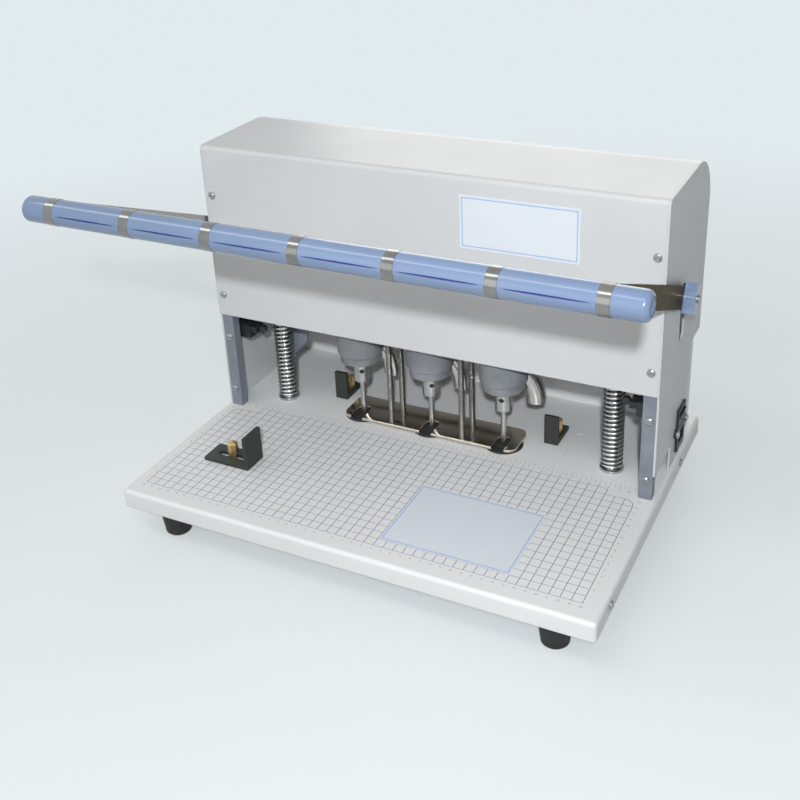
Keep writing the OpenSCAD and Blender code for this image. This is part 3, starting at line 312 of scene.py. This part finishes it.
def polished_look(name, colour, rough=0.07, edge=0.5 * MM):
    """Bright plating with faint smears."""
    look = Look(name, metallic=1.0)
    smear = look.steps(look.noise(60, 5, (1, 1, 0.25)), 0.4, 0.8)
    tone = look.tint(smear, colour, scaled(colour, 0.9))
    return look.finish(tone, rough + 0.1 * smear, look.noise(300, 2), 0.000008, edge)


def plastic_look(name, colour, rough=0.14, coat=0.25, depth=0.00002, scale=350.0):
    """Moulded plastic with a slight swirl of colour and a soft skin."""
    look = Look(name, ior=1.49, coat_weight=coat)
    swirl = look.steps(look.noise(35, 4, (0.3, 1, 1)), 0.35, 0.7)
    tone = look.tint(swirl, scaled(colour, 0.93), scaled(colour, 1.05))
    return look.finish(tone, rough + 0.1 * look.noise(90, 4), look.noise(scale, 3), depth, 0.6 * MM)


def rubber_look(name, colour):
    """Matt rubber with a bloom of dust."""
    look = Look(name, ior=1.45)
    dust = look.steps(look.noise(130, 6), 0.45, 0.8)
    tone = look.tint(dust, colour, scaled(colour, 2.6))
    return look.finish(tone, 0.62 + 0.25 * dust, look.noise(1400, 3), 0.00008, 0.6 * MM)


def print_look(name, colour, thin=0.85):
    """Screen-printed ink or film with slightly uneven cover."""
    look = Look(name, ior=1.47)
    cover = look.steps(look.noise(260, 5), 0.3, 0.7)
    lighter = tuple(part + (1 - part) * (1 - thin) for part in colour)
    return look.finish(look.tint(cover, lighter, colour), 0.28 + 0.15 * cover)


class Finishes:
    """Makes each finish once, when a piece first asks for it."""

    def __init__(self):
        self.made = {}

    def get(self, name):
        if name not in self.made:
            c = bpy.context.scene.drill_colours
            makers = {
                "white_enamel": lambda: enamel_look("white_enamel", c.enamel),
                "table_enamel": lambda: enamel_look("table_enamel", c.table),
                "grey_paint": lambda: casting_look("grey_paint", c.castings),
                "head_paint": lambda: casting_look("head_paint", c.heads),
                "bare_steel": lambda: machined_look("bare_steel", c.steel),
                "chrome": lambda: polished_look("chrome", c.chrome),
                "spring_steel": lambda: machined_look("spring_steel", c.wire, 0.22, (1, 1, 1), 0),
                "zinc_screws": lambda: machined_look("zinc_screws", c.zinc, 0.22, (1, 1, 1)),
                "satin_steel": lambda: machined_look("satin_steel", c.satin, 0.26, (1, 1, 0.06)),
                "left_arm_steel": lambda: arm_look("left_arm_steel", c.left_arm, c.bands, (1, 1, 1)),
                # The right arm's finish paints shade with a near-black base, where the left arm is bright
                # steel.
                "right_arm_steel": lambda: arm_look("right_arm_steel", c.right_arm, c.bands, c.glance),
                # The press plate's finish paints a warm reflection into its colour.
                "plate_painted_reflection": lambda: polished_look("plate_painted_reflection", c.plate, 0.16),
                "band_steel": lambda: machined_look("band_steel", c.bands, 0.18),
                "rod_steel": lambda: machined_look("rod_steel", c.rods, 0.2, (1, 1, 1), 0),
                "blue_plastic": lambda: plastic_look("blue_plastic", c.grip),
                # A dark blue plastic that paints the shade in a grip's groove.
                "groove_shade_plastic": lambda: plastic_look("groove_shade_plastic", c.grip_line, 0.3),
                "black_plastic": lambda: plastic_look("black_plastic", c.black, 0.4, 0.0, 0.00008, 1800.0),
                "black_rubber": lambda: rubber_look("black_rubber", c.rubber),
                "black_enamel": lambda: casting_look("black_enamel", c.stops),
                "brass": lambda: machined_look("brass", c.brass, 0.26, (1, 1, 0.08)),
                "white_film": lambda: print_look("white_film", c.film, 0.97),
                "ruling_ink": lambda: print_look("ruling_ink", c.ink),
                "border_ink": lambda: print_look("border_ink", c.border),
            }
            self.made[name] = makers[name]()
        return self.made[name]


FINISHES = Finishes()


def dress(*nodes, finish=None):
    """Gives CAD nodes their finish: the one named, or the one of their slot."""
    for name in nodes:
        for held in frame["nodes"][name].material_slots:
            held.material = FINISHES.get(finish or NODE_SLOT[name])


def piece(name, bm, slot, finish=None, body=None, sharp=radians(35)):
    """Turns a finished bmesh into a piece with its finish, and rides it on a body if one is given."""
    bmesh.ops.recalc_face_normals(bm, faces=bm.faces[:])
    mesh = bpy.data.meshes.new(name)
    bm.to_mesh(mesh)
    bm.free()
    mesh.shade_smooth()
    mesh.set_sharp_from_angle(angle=sharp)
    mesh.materials.append(FINISHES.get(finish or slot))
    made = bpy.data.objects.new(name, mesh)
    bpy.context.scene.collection.objects.link(made)
    if body:
        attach(made, body)
    return made


def slab(bm, low, high):
    """Adds a box between two corners."""
    low, high = Vector(low), Vector(high)
    size = high - low
    place = Matrix.Translation((low + high) / 2) @ Matrix.Diagonal((*size, 1))
    bmesh.ops.create_cube(bm, size=1, matrix=place)


def turned(bm, profile, place, steps=24):
    """Spins a profile of radius and height round its axis, closes its poles and puts it in its place."""
    verts = [bm.verts.new((radius, 0, height)) for radius, height in profile]
    edges = [bm.edges.new(pair) for pair in zip(verts, verts[1:])]
    before = set(bm.verts) - set(verts)
    bmesh.ops.spin(bm, geom=verts + edges, cent=(0, 0, 0), axis=(0, 0, 1), angle=tau, steps=steps,
                   use_merge=True)
    new = [v for v in bm.verts if v not in before]
    bmesh.ops.remove_doubles(bm, verts=new, dist=1e-6)
    new = [v for v in bm.verts if v not in before]
    bmesh.ops.transform(bm, matrix=place, verts=new)


def knurled(bm, radius, low, high, place, grooves=30, depth=0.35 * MM):
    """Adds a cylinder with upright grooves and a crowned top."""
    crown_w, crown_h = 0.8 * MM, 0.5 * MM
    rim = bmesh.ops.create_circle(bm, cap_ends=True, segments=2 * grooves, radius=radius)["verts"]
    inner = 1 - depth / radius
    bmesh.ops.scale(bm, vec=(inner, inner, 1), verts=rim[::2])
    bmesh.ops.translate(bm, vec=(0, 0, low), verts=rim)
    faces = list({face for vert in rim for face in vert.link_faces})
    raised = bmesh.ops.extrude_face_region(bm, geom=faces)["geom"]
    top = [v for v in raised if isinstance(v, bmesh.types.BMVert)]
    bmesh.ops.translate(bm, vec=(0, 0, high - low), verts=top)
    lid = [face for face in raised if isinstance(face, bmesh.types.BMFace)]
    bmesh.ops.inset_region(bm, faces=lid, thickness=crown_w, depth=crown_h)
    made = {v for vert in rim + top for face in vert.link_faces for v in face.verts}
    bmesh.ops.transform(bm, matrix=place, verts=list(made))


# Operators

class DRILL_OT_housing(bpy.types.Operator):
    """Finish the table, hood, side plates and rear wall"""
    bl_idname = "drill.housing"
    bl_label = "Housing"

    def execute(self, context):
        dress("side_plate_left", "side_plate_right", "hood", "bottom_plate")
        dress("base_tray", "rear_cabinet", finish="table_enamel")
        return {"FINISHED"}


class DRILL_OT_castings(bpy.types.Operator):
    """Finish the posts, motors and beams and turn the ringed gear heads"""
    bl_idname = "drill.castings"
    bl_label = "Castings"

    def execute(self, context):
        dress("front_posts", "carriage_beam", "hanging_bracket", "top_beam", "axle_bearings", "motors")
        low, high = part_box("gear_heads")
        flange_r = HEAD_XS[0] - low.x
        ring_r, bore_r = flange_r - 3 * MM, 5 * MM
        ring_h, groove, edge = 9 * MM, 1.3 * MM, 0.6 * MM
        ring_top = low.z + ring_h
        profile = [(bore_r, low.z), (ring_r - edge, low.z), (ring_r, low.z + edge), (ring_r, ring_top),
                   (ring_r - groove, ring_top), (ring_r - groove, ring_top + groove),
                   (flange_r - edge, ring_top + groove), (flange_r, ring_top + groove + edge),
                   (flange_r, high.z), (bore_r, high.z), (bore_r, low.z)]
        bm = bmesh.new()
        for x in HEAD_XS:
            turned(bm, profile, Matrix.Translation((x, LINE_Y, 0)), 64)
        slot = NODE_SLOT["gear_heads"]
        heads = piece("ringed_gear_heads", bm, slot, "head_paint", "carriage", radians(25))
        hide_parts("gear_heads")
        return {"FINISHED"}


class DRILL_OT_running_gear(bpy.types.Operator):
    """Finish the columns, chip tubes, racks and the rest of the drive"""
    bl_idname = "drill.running_gear"
    bl_label = "Running gear"

    def execute(self, context):
        dress("steel_bed", "racks", "toothed_sectors", "spring_seats", "limit_lever_left",
              "limit_lever_right", "bar_core", "guide_columns", "chip_tubes", "lever_axles", "guide_bushes")
        return {"FINISHED"}


class DRILL_OT_spindles(bpy.types.Operator):
    """Finish the chucks and the hollow bits and sink a set screw in each chuck"""
    bl_idname = "drill.spindles"
    bl_label = "Spindles"

    # Where each chuck's screw hole faces, turned from the front to the right, and its height in the chuck
    turns = {"left": radians(30), "middle": radians(34), "right": radians(6)}
    chuck_l, screw_up = 26 * MM, 0.55
    screw_l, sunk = 2.4 * MM, 0.25 * MM

    def execute(self, context):
        screw_r = context.scene.drill_sizes.set_screw_d / 2
        socket_r, socket_depth, edge = 0.55 * screw_r, 1.6 * MM, 0.3 * MM
        profile = [(0, -self.screw_l), (screw_r, -self.screw_l), (screw_r, -edge), (screw_r - edge, 0),
                   (socket_r, 0), (socket_r, -socket_depth), (0, -socket_depth)]
        for side, x in zip(self.turns, HEAD_XS):
            dress("chuck_" + side, "bit_" + side)
            low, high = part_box("chuck_" + side)
            out = (high.x - low.x) / 2 - self.sunk
            place = Matrix.Translation((x, LINE_Y, low.z + self.screw_up * self.chuck_l))
            place = place @ Matrix.Rotation(self.turns[side], 4, "Z") @ Matrix.Rotation(pi / 2, 4, "X")
            bm = bmesh.new()
            turned(bm, profile, place @ Matrix.Translation((0, 0, out)))
            piece(side + "_set_screw", bm, NODE_SLOT["chuck_" + side], "black_enamel", "spindle_" + side)
        return {"FINISHED"}


class DRILL_OT_springs(bpy.types.Operator):
    """Wind the two return springs with closed end turns"""
    bl_idname = "drill.springs"
    bl_label = "Return springs"

    def execute(self, context):
        sizes = context.scene.drill_sizes
        rings = 24
        for side in ("left", "right"):
            node = "return_spring_" + side
            low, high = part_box(node)
            middle = (low + high) / 2
            coil_r = (high.y - low.y - sizes.wire_d) / 2
            closed = sizes.wire_d * 1.04
            spare = high.z - low.z - sizes.wire_d - 2 * closed
            bm = bmesh.new()
            first = Vector((coil_r, 0, low.z + sizes.wire_d / 2))
            start = Matrix.Translation(first) @ Matrix.Rotation(pi / 2, 4, "X")
            verts = bmesh.ops.create_circle(bm, segments=12, radius=sizes.wire_d / 2, matrix=start)["verts"]
            wound = verts + list({edge for vert in verts for edge in vert.link_edges})
            open_turns = sizes.coil_turns - 2
            for turns, rise in ((1, closed), (open_turns, spare), (1, closed)):
                steps = turns * rings
                wound = bmesh.ops.spin(bm, geom=wound, cent=(0, 0, 0), axis=(0, 0, 1), angle=turns * tau,
                                       dvec=(0, 0, rise / steps), steps=steps)["geom_last"]
            bmesh.ops.holes_fill(bm, edges=[edge for edge in bm.edges if edge.is_boundary], sides=0)
            bmesh.ops.translate(bm, verts=bm.verts[:], vec=(middle.x, LINE_Y, 0))
            spring = piece(side + "_spring", bm, "spring_steel")
            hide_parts(node)
            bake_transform(spring)
        return {"FINISHED"}


class DRILL_OT_press(bpy.types.Operator):
    """Make the bevelled press plate and its ribbed rods"""
    bl_idname = "drill.press"
    bl_label = "Press plate and rods"

    def execute(self, context):
        sizes = context.scene.drill_sizes
        low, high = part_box("press_plate")
        notch, corner = 7 * MM, 11 * MM
        outline = [(low.x, low.y)]
        for x in HEAD_XS:
            outline += [(x - notch, low.y), (x - notch, LINE_Y + notch), (x + notch, LINE_Y + notch),
                        (x + notch, low.y)]
        outline += [(high.x, low.y), (high.x, high.y), (low.x, high.y)]
        bm = bmesh.new()
        bm.faces.new([bm.verts.new((x, y, low.z)) for x, y in outline])
        ends = [v for v in bm.verts if abs(v.co.y - LINE_Y - notch) < 1e-6]
        outer = [v for v in bm.verts if abs(v.co.x - low.x) < 1e-6 or abs(v.co.x - high.x) < 1e-6]
        for verts, radius in ((ends, 0.99 * notch), (outer, corner)):
            bmesh.ops.bevel(bm, geom=verts, offset=radius, offset_type="OFFSET", affect="VERTICES",
                            segments=8, profile=0.5, material=-1)
        raised = bmesh.ops.extrude_face_region(bm, geom=bm.faces[:])["geom"]
        top = [v for v in raised if isinstance(v, bmesh.types.BMVert)]
        bmesh.ops.translate(bm, verts=top, vec=(0, 0, high.z - low.z))
        rim = [e for e in bm.edges if all(abs(v.co.z - high.z) < 1e-7 for v in e.verts)]
        bmesh.ops.bevel(bm, geom=rim, offset=sizes.plate_edge, offset_type="OFFSET", affect="EDGES",
                        segments=2, profile=0.5, material=-1)
        # The plate's finish carries a painted warm reflection.
        plate = piece("bevelled_press_plate", bm, "chrome", "plate_painted_reflection", "press")
        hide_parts("press_plate")

        low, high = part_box("press_rods")
        collar_r, collar_h, tip = 6 * MM, 6 * MM, 1 * MM
        root_r = sizes.rod_d / 2 - sizes.rib_depth
        collar_z = high.z - tip - collar_h
        ribs, parts = int((collar_z - low.z) / sizes.rib_pitch), 6
        profile = [(0, low.z), (root_r, low.z)]
        for i in range(ribs * parts):
            swell = pi * (i % parts + 1) / parts
            rise = i // parts + (1 - cos(swell)) / 2
            profile.append((root_r + sizes.rib_depth * sin(swell), low.z + rise * sizes.rib_pitch))
        profile += [(root_r, collar_z), (collar_r, collar_z), (collar_r, collar_z + collar_h),
                    (root_r, collar_z + collar_h), (root_r, high.z), (0, high.z)]
        inset = collar_r
        bm = bmesh.new()
        for x in (low.x + inset, high.x - inset):
            for y in (low.y + inset, high.y - inset):
                turned(bm, profile, Matrix.Translation((x, y, 0)))
        rods = piece("ribbed_press_rods", bm, "chrome", "rod_steel", "press", radians(50))
        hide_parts("press_rods")
        return {"FINISHED"}


class DRILL_OT_lever(bpy.types.Operator):
    """Finish the lever, turn its end caps and add the moulded line along each grip"""
    bl_idname = "drill.lever"
    bl_label = "Lever"

    # Finish the lever, turn its end caps and lay a navy strip of painted shade along each grip, where a
    # moulded groove holds shade
    def execute(self, context):
        sizes = context.scene.drill_sizes
        dress("grip_sleeves", "lever_hubs")
        dress("grip_bands", finish="band_steel")
        self.caps()
        # Each arm gets its own finish; the right arm's dark colour is painted shade.
        for side in ("left", "right"):
            dress("lever_arm_" + side, finish=side + "_arm_steel")
        # The grips lie between bands that stand at an even pitch
        low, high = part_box("grip_bands")
        band_w = 10 * MM
        pitch = (high.x - low.x - band_w) / 4
        # Each grip gets a thin navy strip of painted shade, facing a little above the front.
        facing, shade_strip_t, sunk = radians(84), 0.15 * MM, 0.11 * MM
        grips = 6
        bm = bmesh.new()
        for i in range(grips):
            grip_x = (i - (grips - 1) / 2) * pitch
            shape = bmesh.ops.create_circle(bm, cap_ends=True, segments=40, radius=0.5)
            faces = list({face for vert in shape["verts"] for face in vert.link_faces})
            grown = bmesh.ops.extrude_face_region(bm, geom=faces)["geom"]
            raised = [v for v in grown if isinstance(v, bmesh.types.BMVert)]
            bmesh.ops.translate(bm, verts=raised, vec=(0, 0, 1))
            stretch = Matrix.Diagonal((sizes.grip_line_l, sizes.grip_line_w, shade_strip_t, 1))
            place = Matrix.Translation((grip_x, BAR.y, BAR.z)) @ Matrix.Rotation(facing, 4, "X")
            place = place @ Matrix.Translation((0, 0, GRIP_R - sunk)) @ stretch
            bmesh.ops.transform(bm, matrix=place, verts=shape["verts"] + raised)
        piece("grip_groove_shades", bm, "blue_plastic", "groove_shade_plastic", "lever")
        return {"FINISHED"}

    def caps(self):
        """Turns the bar's two end caps, each with a rounded rim and a dished end."""
        low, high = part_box("bar_caps")
        cap_l, rim, dish_r, dish = 27 * MM, 5 * MM, 7.5 * MM, 0.9 * MM
        parts = 6
        profile = [(0, 0), (GRIP_R, 0)]
        for i in range(parts + 1):
            swell = pi / 2 * i / parts
            profile.append((GRIP_R - rim + rim * cos(swell), cap_l - rim + rim * sin(swell)))
        profile += [(dish_r, cap_l), (dish_r - dish, cap_l - dish), (0, cap_l - dish)]
        bm = bmesh.new()
        for end, turn in ((high.x, pi / 2), (low.x, -pi / 2)):
            start = end - (cap_l if turn > 0 else -cap_l)
            place = Matrix.Translation((start, BAR.y, BAR.z)) @ Matrix.Rotation(turn, 4, "Y")
            turned(bm, profile, place, 40)
        made = piece("dished_bar_caps", bm, "blue_plastic", body="lever", sharp=radians(50))
        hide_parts("bar_caps")


class DRILL_OT_stops(bpy.types.Operator):
    """Finish the paper stops and turn their knurled thumb screws"""
    bl_idname = "drill.stops"
    bl_label = "Paper stops"

    def execute(self, context):
        sizes = context.scene.drill_sizes
        dress("side_stop", "rear_stop_left", "rear_stop_right")
        shank_r, neck_h, head_h = 2.5 * MM, 3 * MM, 9 * MM
        head_r = sizes.thumb_d / 2
        neck_r = head_r - 1 * MM
        bodies = {"side": "side_thumb", "left": "rear_thumb_left", "right": "rear_thumb_right"}
        for side, body in bodies.items():
            node = "thumb_screw_" + side
            low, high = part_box(node)
            middle = (low + high) / 2
            seat = high.z - head_h - neck_h
            place = Matrix.Translation((middle.x, middle.y, 0))
            bm = bmesh.new()
            profile = [(0, low.z), (shank_r, low.z), (shank_r, seat), (neck_r, seat),
                       (neck_r, seat + neck_h), (0, seat + neck_h)]
            turned(bm, profile, place)
            knurled(bm, head_r, seat + neck_h, seat + sizes.thumb_rise, place)
            screw = piece(side + "_knurled_screw", bm, "brass", body=body)
            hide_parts(node)
        return {"FINISHED"}


class DRILL_OT_switches(bpy.types.Operator):
    """Finish the inlet, the rocker and the limit switches"""
    bl_idname = "drill.switches"
    bl_label = "Switches"

    def execute(self, context):
        dress("power_inlet", "inlet_pins", "rocker_switch", "limit_switches")
        return {"FINISHED"}


class DRILL_OT_fasteners(bpy.types.Operator):
    """Finish the screws, feet and drilling pads"""
    bl_idname = "drill.fasteners"
    bl_label = "Screws, feet and pads"

    def execute(self, context):
        dress("tray_screws", "hood_screws", "post_screws", "inlet_screws", "hub_screws")
        dress("rubber_feet", "drill_pads")
        return {"FINISHED"}


class DRILL_OT_table_print(bpy.types.Operator):
    """Print the ruled squares and the rulers on the table"""
    bl_idname = "drill.table_print"
    bl_label = "Table print"

    columns, rows, outer = 46, 17, 3
    zero_column = 22

    def execute(self, context):
        sizes = context.scene.drill_sizes
        pitch, half, thin = sizes.grid_pitch, sizes.line_w / 2, sizes.cross_line_w / 2
        x0, y0 = FIELD_LEFT, LINE_Y + FIELD_FRONT
        x1, y1 = x0 + self.columns * pitch, y0 + self.rows * pitch
        z0, z1 = TABLE_Z - sizes.ink_t, TABLE_Z + sizes.ink_t
        # The outer columns end a row short, and the outermost line turns into the last row in an arc
        bm = bmesh.new()
        for i in range(self.columns + 1):
            from_side = min(i, self.columns - i)
            rows = self.rows - (2 if from_side == 0 else 1 if from_side < self.outer else 0)
            x = x0 + i * pitch
            slab(bm, (x - half, y0 - thin, z0), (x + half, y0 + rows * pitch, z1))
        for j in range(self.rows + 1):
            y = y0 + j * pitch
            cut = {self.rows: self.outer, self.rows - 1: 1}.get(j, 0) * pitch
            slab(bm, (x0 + cut, y - thin, z0), (x1 - cut, y + thin, z1))
        arc_y = y1 - 2 * pitch
        for x, turn in ((x0 + pitch, -1), (x1 - pitch, 1)):
            rim = x + turn * pitch
            corners = ((rim - half, z0), (rim - half, z1), (rim + half, z1), (rim + half, z0))
            face = bm.faces.new([bm.verts.new((cx, arc_y, cz)) for cx, cz in corners])
            bmesh.ops.spin(bm, geom=[face, *face.edges, *face.verts], cent=(x, arc_y, 0), axis=(0, 0, 1),
                           angle=turn * pi / 2, steps=8)
        tick_half, tick_l, half_tick_l = 0.13 * MM, 7.5 * MM, 5 * MM
        tick_y = y1 + 6 * MM
        for i in range(2 * self.columns + 1):
            x = x0 + i * pitch / 2
            reach = half_tick_l if i % 2 else tick_l
            slab(bm, (x - tick_half, tick_y, z0), (x + tick_half, tick_y + reach, z1))
        piece("table_ruling", bm, "white_enamel", "ruling_ink", "base")

        gap_front, gap_back, gap_side = 2.5 * MM, 2 * MM, 4 * MM
        bm = bmesh.new()
        for y in (y0 - gap_front - sizes.digit_h, y1 + gap_back):
            for i in range(self.columns + 1):
                self.number(bm, str(abs(i - self.zero_column)), (x0 + i * pitch, y, TABLE_Z), sizes)
        for x in (x0 - gap_side, x1 + gap_side):
            for j in range(1, self.rows):
                self.number(bm, str(j), (x, y0 + j * pitch - sizes.digit_h / 3, TABLE_Z), sizes)
        piece("ruler_numbers", bm, "white_enamel", "ruling_ink", "base")
        return {"FINISHED"}

    def number(self, bm, text, place, sizes):
        """Adds a plain number, its middle over a place."""
        letters = bpy.data.curves.new("digits", "FONT")
        letters.body = text
        letters.size = sizes.digit_h
        letters.align_x = "CENTER"
        letters.resolution_u = 2
        letters.extrude = sizes.ink_t
        holder = bpy.data.objects.new("digits", letters)
        bpy.context.scene.collection.objects.link(holder)
        bpy.context.view_layer.update()
        shape = bpy.data.meshes.new_from_object(holder.evaluated_get(bpy.context.evaluated_depsgraph_get()))
        before = set(bm.verts)
        bm.from_mesh(shape)
        new = [v for v in bm.verts if v not in before]
        bmesh.ops.remove_doubles(bm, verts=new, dist=1e-7)
        new = [v for v in bm.verts if v not in before]
        bmesh.ops.translate(bm, verts=new, vec=place)
        bpy.data.objects.remove(holder)
        bpy.data.curves.remove(letters)
        bpy.data.meshes.remove(shape)


class DRILL_OT_labels(bpy.types.Operator):
    """Lay the bare label on the table and draw a line round both labels"""
    bl_idname = "drill.labels"
    bl_label = "Bare labels"

    def execute(self, context):
        sizes = context.scene.drill_sizes
        dress("blank_plate")
        left, right, near, far = 28 * MM, 158 * MM, 10 * MM, 105 * MM
        front = LINE_Y + FIELD_FRONT
        low = Vector((left, front + near, TABLE_Z))
        high = Vector((right, front + far, TABLE_Z + 4 * sizes.ink_t))
        bm = bmesh.new()
        slab(bm, low, high)
        piece("table_label", bm, "white_film", body="base")
        bm = bmesh.new()
        inset = 2 * MM
        w = sizes.border_w
        x0, x1, y0, y1 = low.x + inset, high.x - inset, low.y + inset, high.y - inset
        z0, z1 = high.z - sizes.ink_t, high.z + sizes.ink_t
        for a, b in (((x0, y0), (x1, y0 + w)), ((x0, y1 - w), (x1, y1)), ((x0, y0), (x0 + w, y1)),
                     ((x1 - w, y0), (x1, y1))):
            slab(bm, (*a, z0), (*b, z1))
        low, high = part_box("blank_plate")
        y0, y1 = low.y - sizes.ink_t, low.y + sizes.ink_t
        inset = 2.2 * MM
        x0, x1, z0, z1 = low.x + inset, high.x - inset, low.z + inset, high.z - inset
        for a, b in (((x0, z0), (x1, z0 + w)), ((x0, z1 - w), (x1, z1)), ((x0, z0), (x0 + w, z1)),
                     ((x1 - w, z0), (x1, z1))):
            slab(bm, (a[0], y0, a[1]), (b[0], y1, b[1]))
        piece("label_borders", bm, "white_film", "border_ink", "base")
        return {"FINISHED"}


class DRILL_OT_stage(bpy.types.Operator):
    """Set up the floor, the light and the camera"""
    bl_idname = "drill.stage"
    bl_label = "Stage"

    # Tones of the surroundings from the left to the right: as light, and as they are seen
    light_tones = ((0.48, 0.465, 0.44), (0.15, 0.135, 0.115))
    shown_tones = ((0.80, 0.85, 0.88), (0.70, 0.71, 0.71))
    warm, cool = (1.0, 0.985, 0.96), (0.95, 0.98, 1.0)
    floor_size = 14
    aim = Vector((0, 0, 0.2))

    def execute(self, context):
        scene = context.scene
        studio = scene.drill_studio
        scene.view_settings.view_transform = "Standard"

        bm = bmesh.new()
        bmesh.ops.create_grid(bm, x_segments=1, y_segments=1, size=self.floor_size)
        mesh = bpy.data.meshes.new("floor")
        bm.to_mesh(mesh)
        bm.free()
        mesh.materials.append(self.floor_look(scene.drill_colours))
        floor = bpy.data.objects.new("floor", mesh)
        scene.collection.objects.link(floor)

        self.surroundings(scene, studio.sky)
        self.lamp("key", studio.key_power, width=0.05, height=0.05, azimuth=radians(26),
                  elevation=radians(31), distance=1.5, tint=self.cool)
        self.lamp("top", studio.top_power, width=5.5, height=0.6, azimuth=radians(-18),
                  elevation=radians(62), distance=3.2, tint=self.warm)
        self.lamp("back", studio.back_power, width=1.6, height=1.6, azimuth=radians(194),
                  elevation=radians(18), distance=2.4, tint=self.warm)
        self.lamp("fill", studio.fill_power, width=1.5, height=1.5, azimuth=radians(-12),
                  elevation=radians(15), distance=2.2, tint=self.warm)

        camera = bpy.data.cameras.new("camera")
        camera.sensor_width = 36
        camera.lens = studio.lens
        camera.shift_y = studio.shift
        view = bpy.data.objects.new("camera", camera)
        a, e, r = studio.azimuth, studio.elevation, studio.roll
        forward = Vector((-sin(a) * cos(e), cos(a) * cos(e), -sin(e)))
        right = forward.cross(Vector((0, 0, 1))).normalized()
        up = right.cross(forward)
        axes = Matrix((cos(r) * right + sin(r) * up, cos(r) * up - sin(r) * right, -forward)).transposed()
        view.matrix_world = Matrix.Translation(studio.camera_at) @ axes.to_4x4()
        scene.collection.objects.link(view)
        scene.camera = view
        return {"FINISHED"}

    def floor_look(self, colours):
        """A matt floor that goes over to a plain pale tone away from the drill."""
        look = Look("studio_floor", ior=1.3)
        seen = look.seen()
        look.finish(look.tint(seen, scaled(colours.floor, 0.5), colours.floor), 0.75 + 0.1 * look.noise(12))
        far = look.node("ShaderNodeVectorMath", {"operation": "LENGTH"}, {0: look.place}, "Value")
        glow = look.node("ShaderNodeEmission", None, {"Color": (*colours.distance, 1)})
        spread = seen * (0.35 + 0.65 * look.steps(far, 0.3, 1.4))
        matt = Value(look, look.shader.outputs[0])
        look.surface(look.node("ShaderNodeMixShader", None, {0: spread, 1: matt, 2: glow}), "Material Output")
        return look.material

    def surroundings(self, scene, strength):
        """Light from all round, stronger from the left, and a paler tone where it is seen."""
        world = bpy.data.worlds.new("studio")
        scene.world = world
        world.use_nodes = True
        sky = Graph(world.node_tree)
        place = sky.node("ShaderNodeTexCoord", output="Generated")
        across = sky.steps(sky.node("ShaderNodeSeparateXYZ", None, {"Vector": place}, "X"), -0.7, 0.7)
        light = sky.node("ShaderNodeBackground", None, {"Color": sky.tint(across, *self.light_tones),
                                                        "Strength": strength})
        shown = sky.node("ShaderNodeBackground", None, {"Color": sky.tint(across, *self.shown_tones)})
        mixed = sky.node("ShaderNodeMixShader", None, {0: sky.seen(), 1: light, 2: shown})
        sky.surface(mixed, "World Output")

    def lamp(self, name, power, width, height, azimuth, elevation, distance, tint):
        """Adds a rectangular light that faces the drill from an azimuth and a height."""
        data = bpy.data.lights.new(name, "AREA")
        data.energy = power
        data.shape = "RECTANGLE"
        data.size = width
        data.size_y = height
        data.color = tint
        lamp = bpy.data.objects.new(name, data)
        back = Vector((sin(azimuth) * cos(elevation), -cos(azimuth) * cos(elevation), sin(elevation)))
        facing = back.to_track_quat("Z", "Y").to_matrix().to_4x4()
        lamp.matrix_world = Matrix.Translation(self.aim + distance * back) @ facing
        bpy.context.scene.collection.objects.link(lamp)


STEPS = (DRILL_OT_stage, DRILL_OT_housing, DRILL_OT_castings, DRILL_OT_running_gear, DRILL_OT_spindles,
         DRILL_OT_springs, DRILL_OT_press, DRILL_OT_lever, DRILL_OT_stops, DRILL_OT_switches,
         DRILL_OT_fasteners, DRILL_OT_table_print, DRILL_OT_labels)


class DRILL_PT_sidebar(bpy.types.Panel):
    """Lists the steps that dress the drill"""
    bl_idname = "DRILL_PT_sidebar"
    bl_label = "Paper Drill"
    bl_space_type = "VIEW_3D"
    bl_region_type = "UI"
    bl_category = "Paper Drill"

    def draw(self, context):
        for step in STEPS:
            self.layout.operator(step.bl_idname)


CLASSES = (DrillColours, DrillSizes, DrillStudio, *STEPS, DRILL_PT_sidebar)


def register():
    for cls in CLASSES:
        bpy.utils.register_class(cls)
    bpy.types.Scene.drill_colours = PointerProperty(type=DrillColours)
    bpy.types.Scene.drill_sizes = PointerProperty(type=DrillSizes)
    bpy.types.Scene.drill_studio = PointerProperty(type=DrillStudio)


def unregister():
    for name in ("drill_colours", "drill_sizes", "drill_studio"):
        delattr(bpy.types.Scene, name)
    for cls in reversed(CLASSES):
        bpy.utils.unregister_class(cls)


def main():
    register()
    for step in STEPS:
        group, name = step.bl_idname.split(".")
        getattr(getattr(bpy.ops, group), name)()


if __name__ == "__main__":
    main()
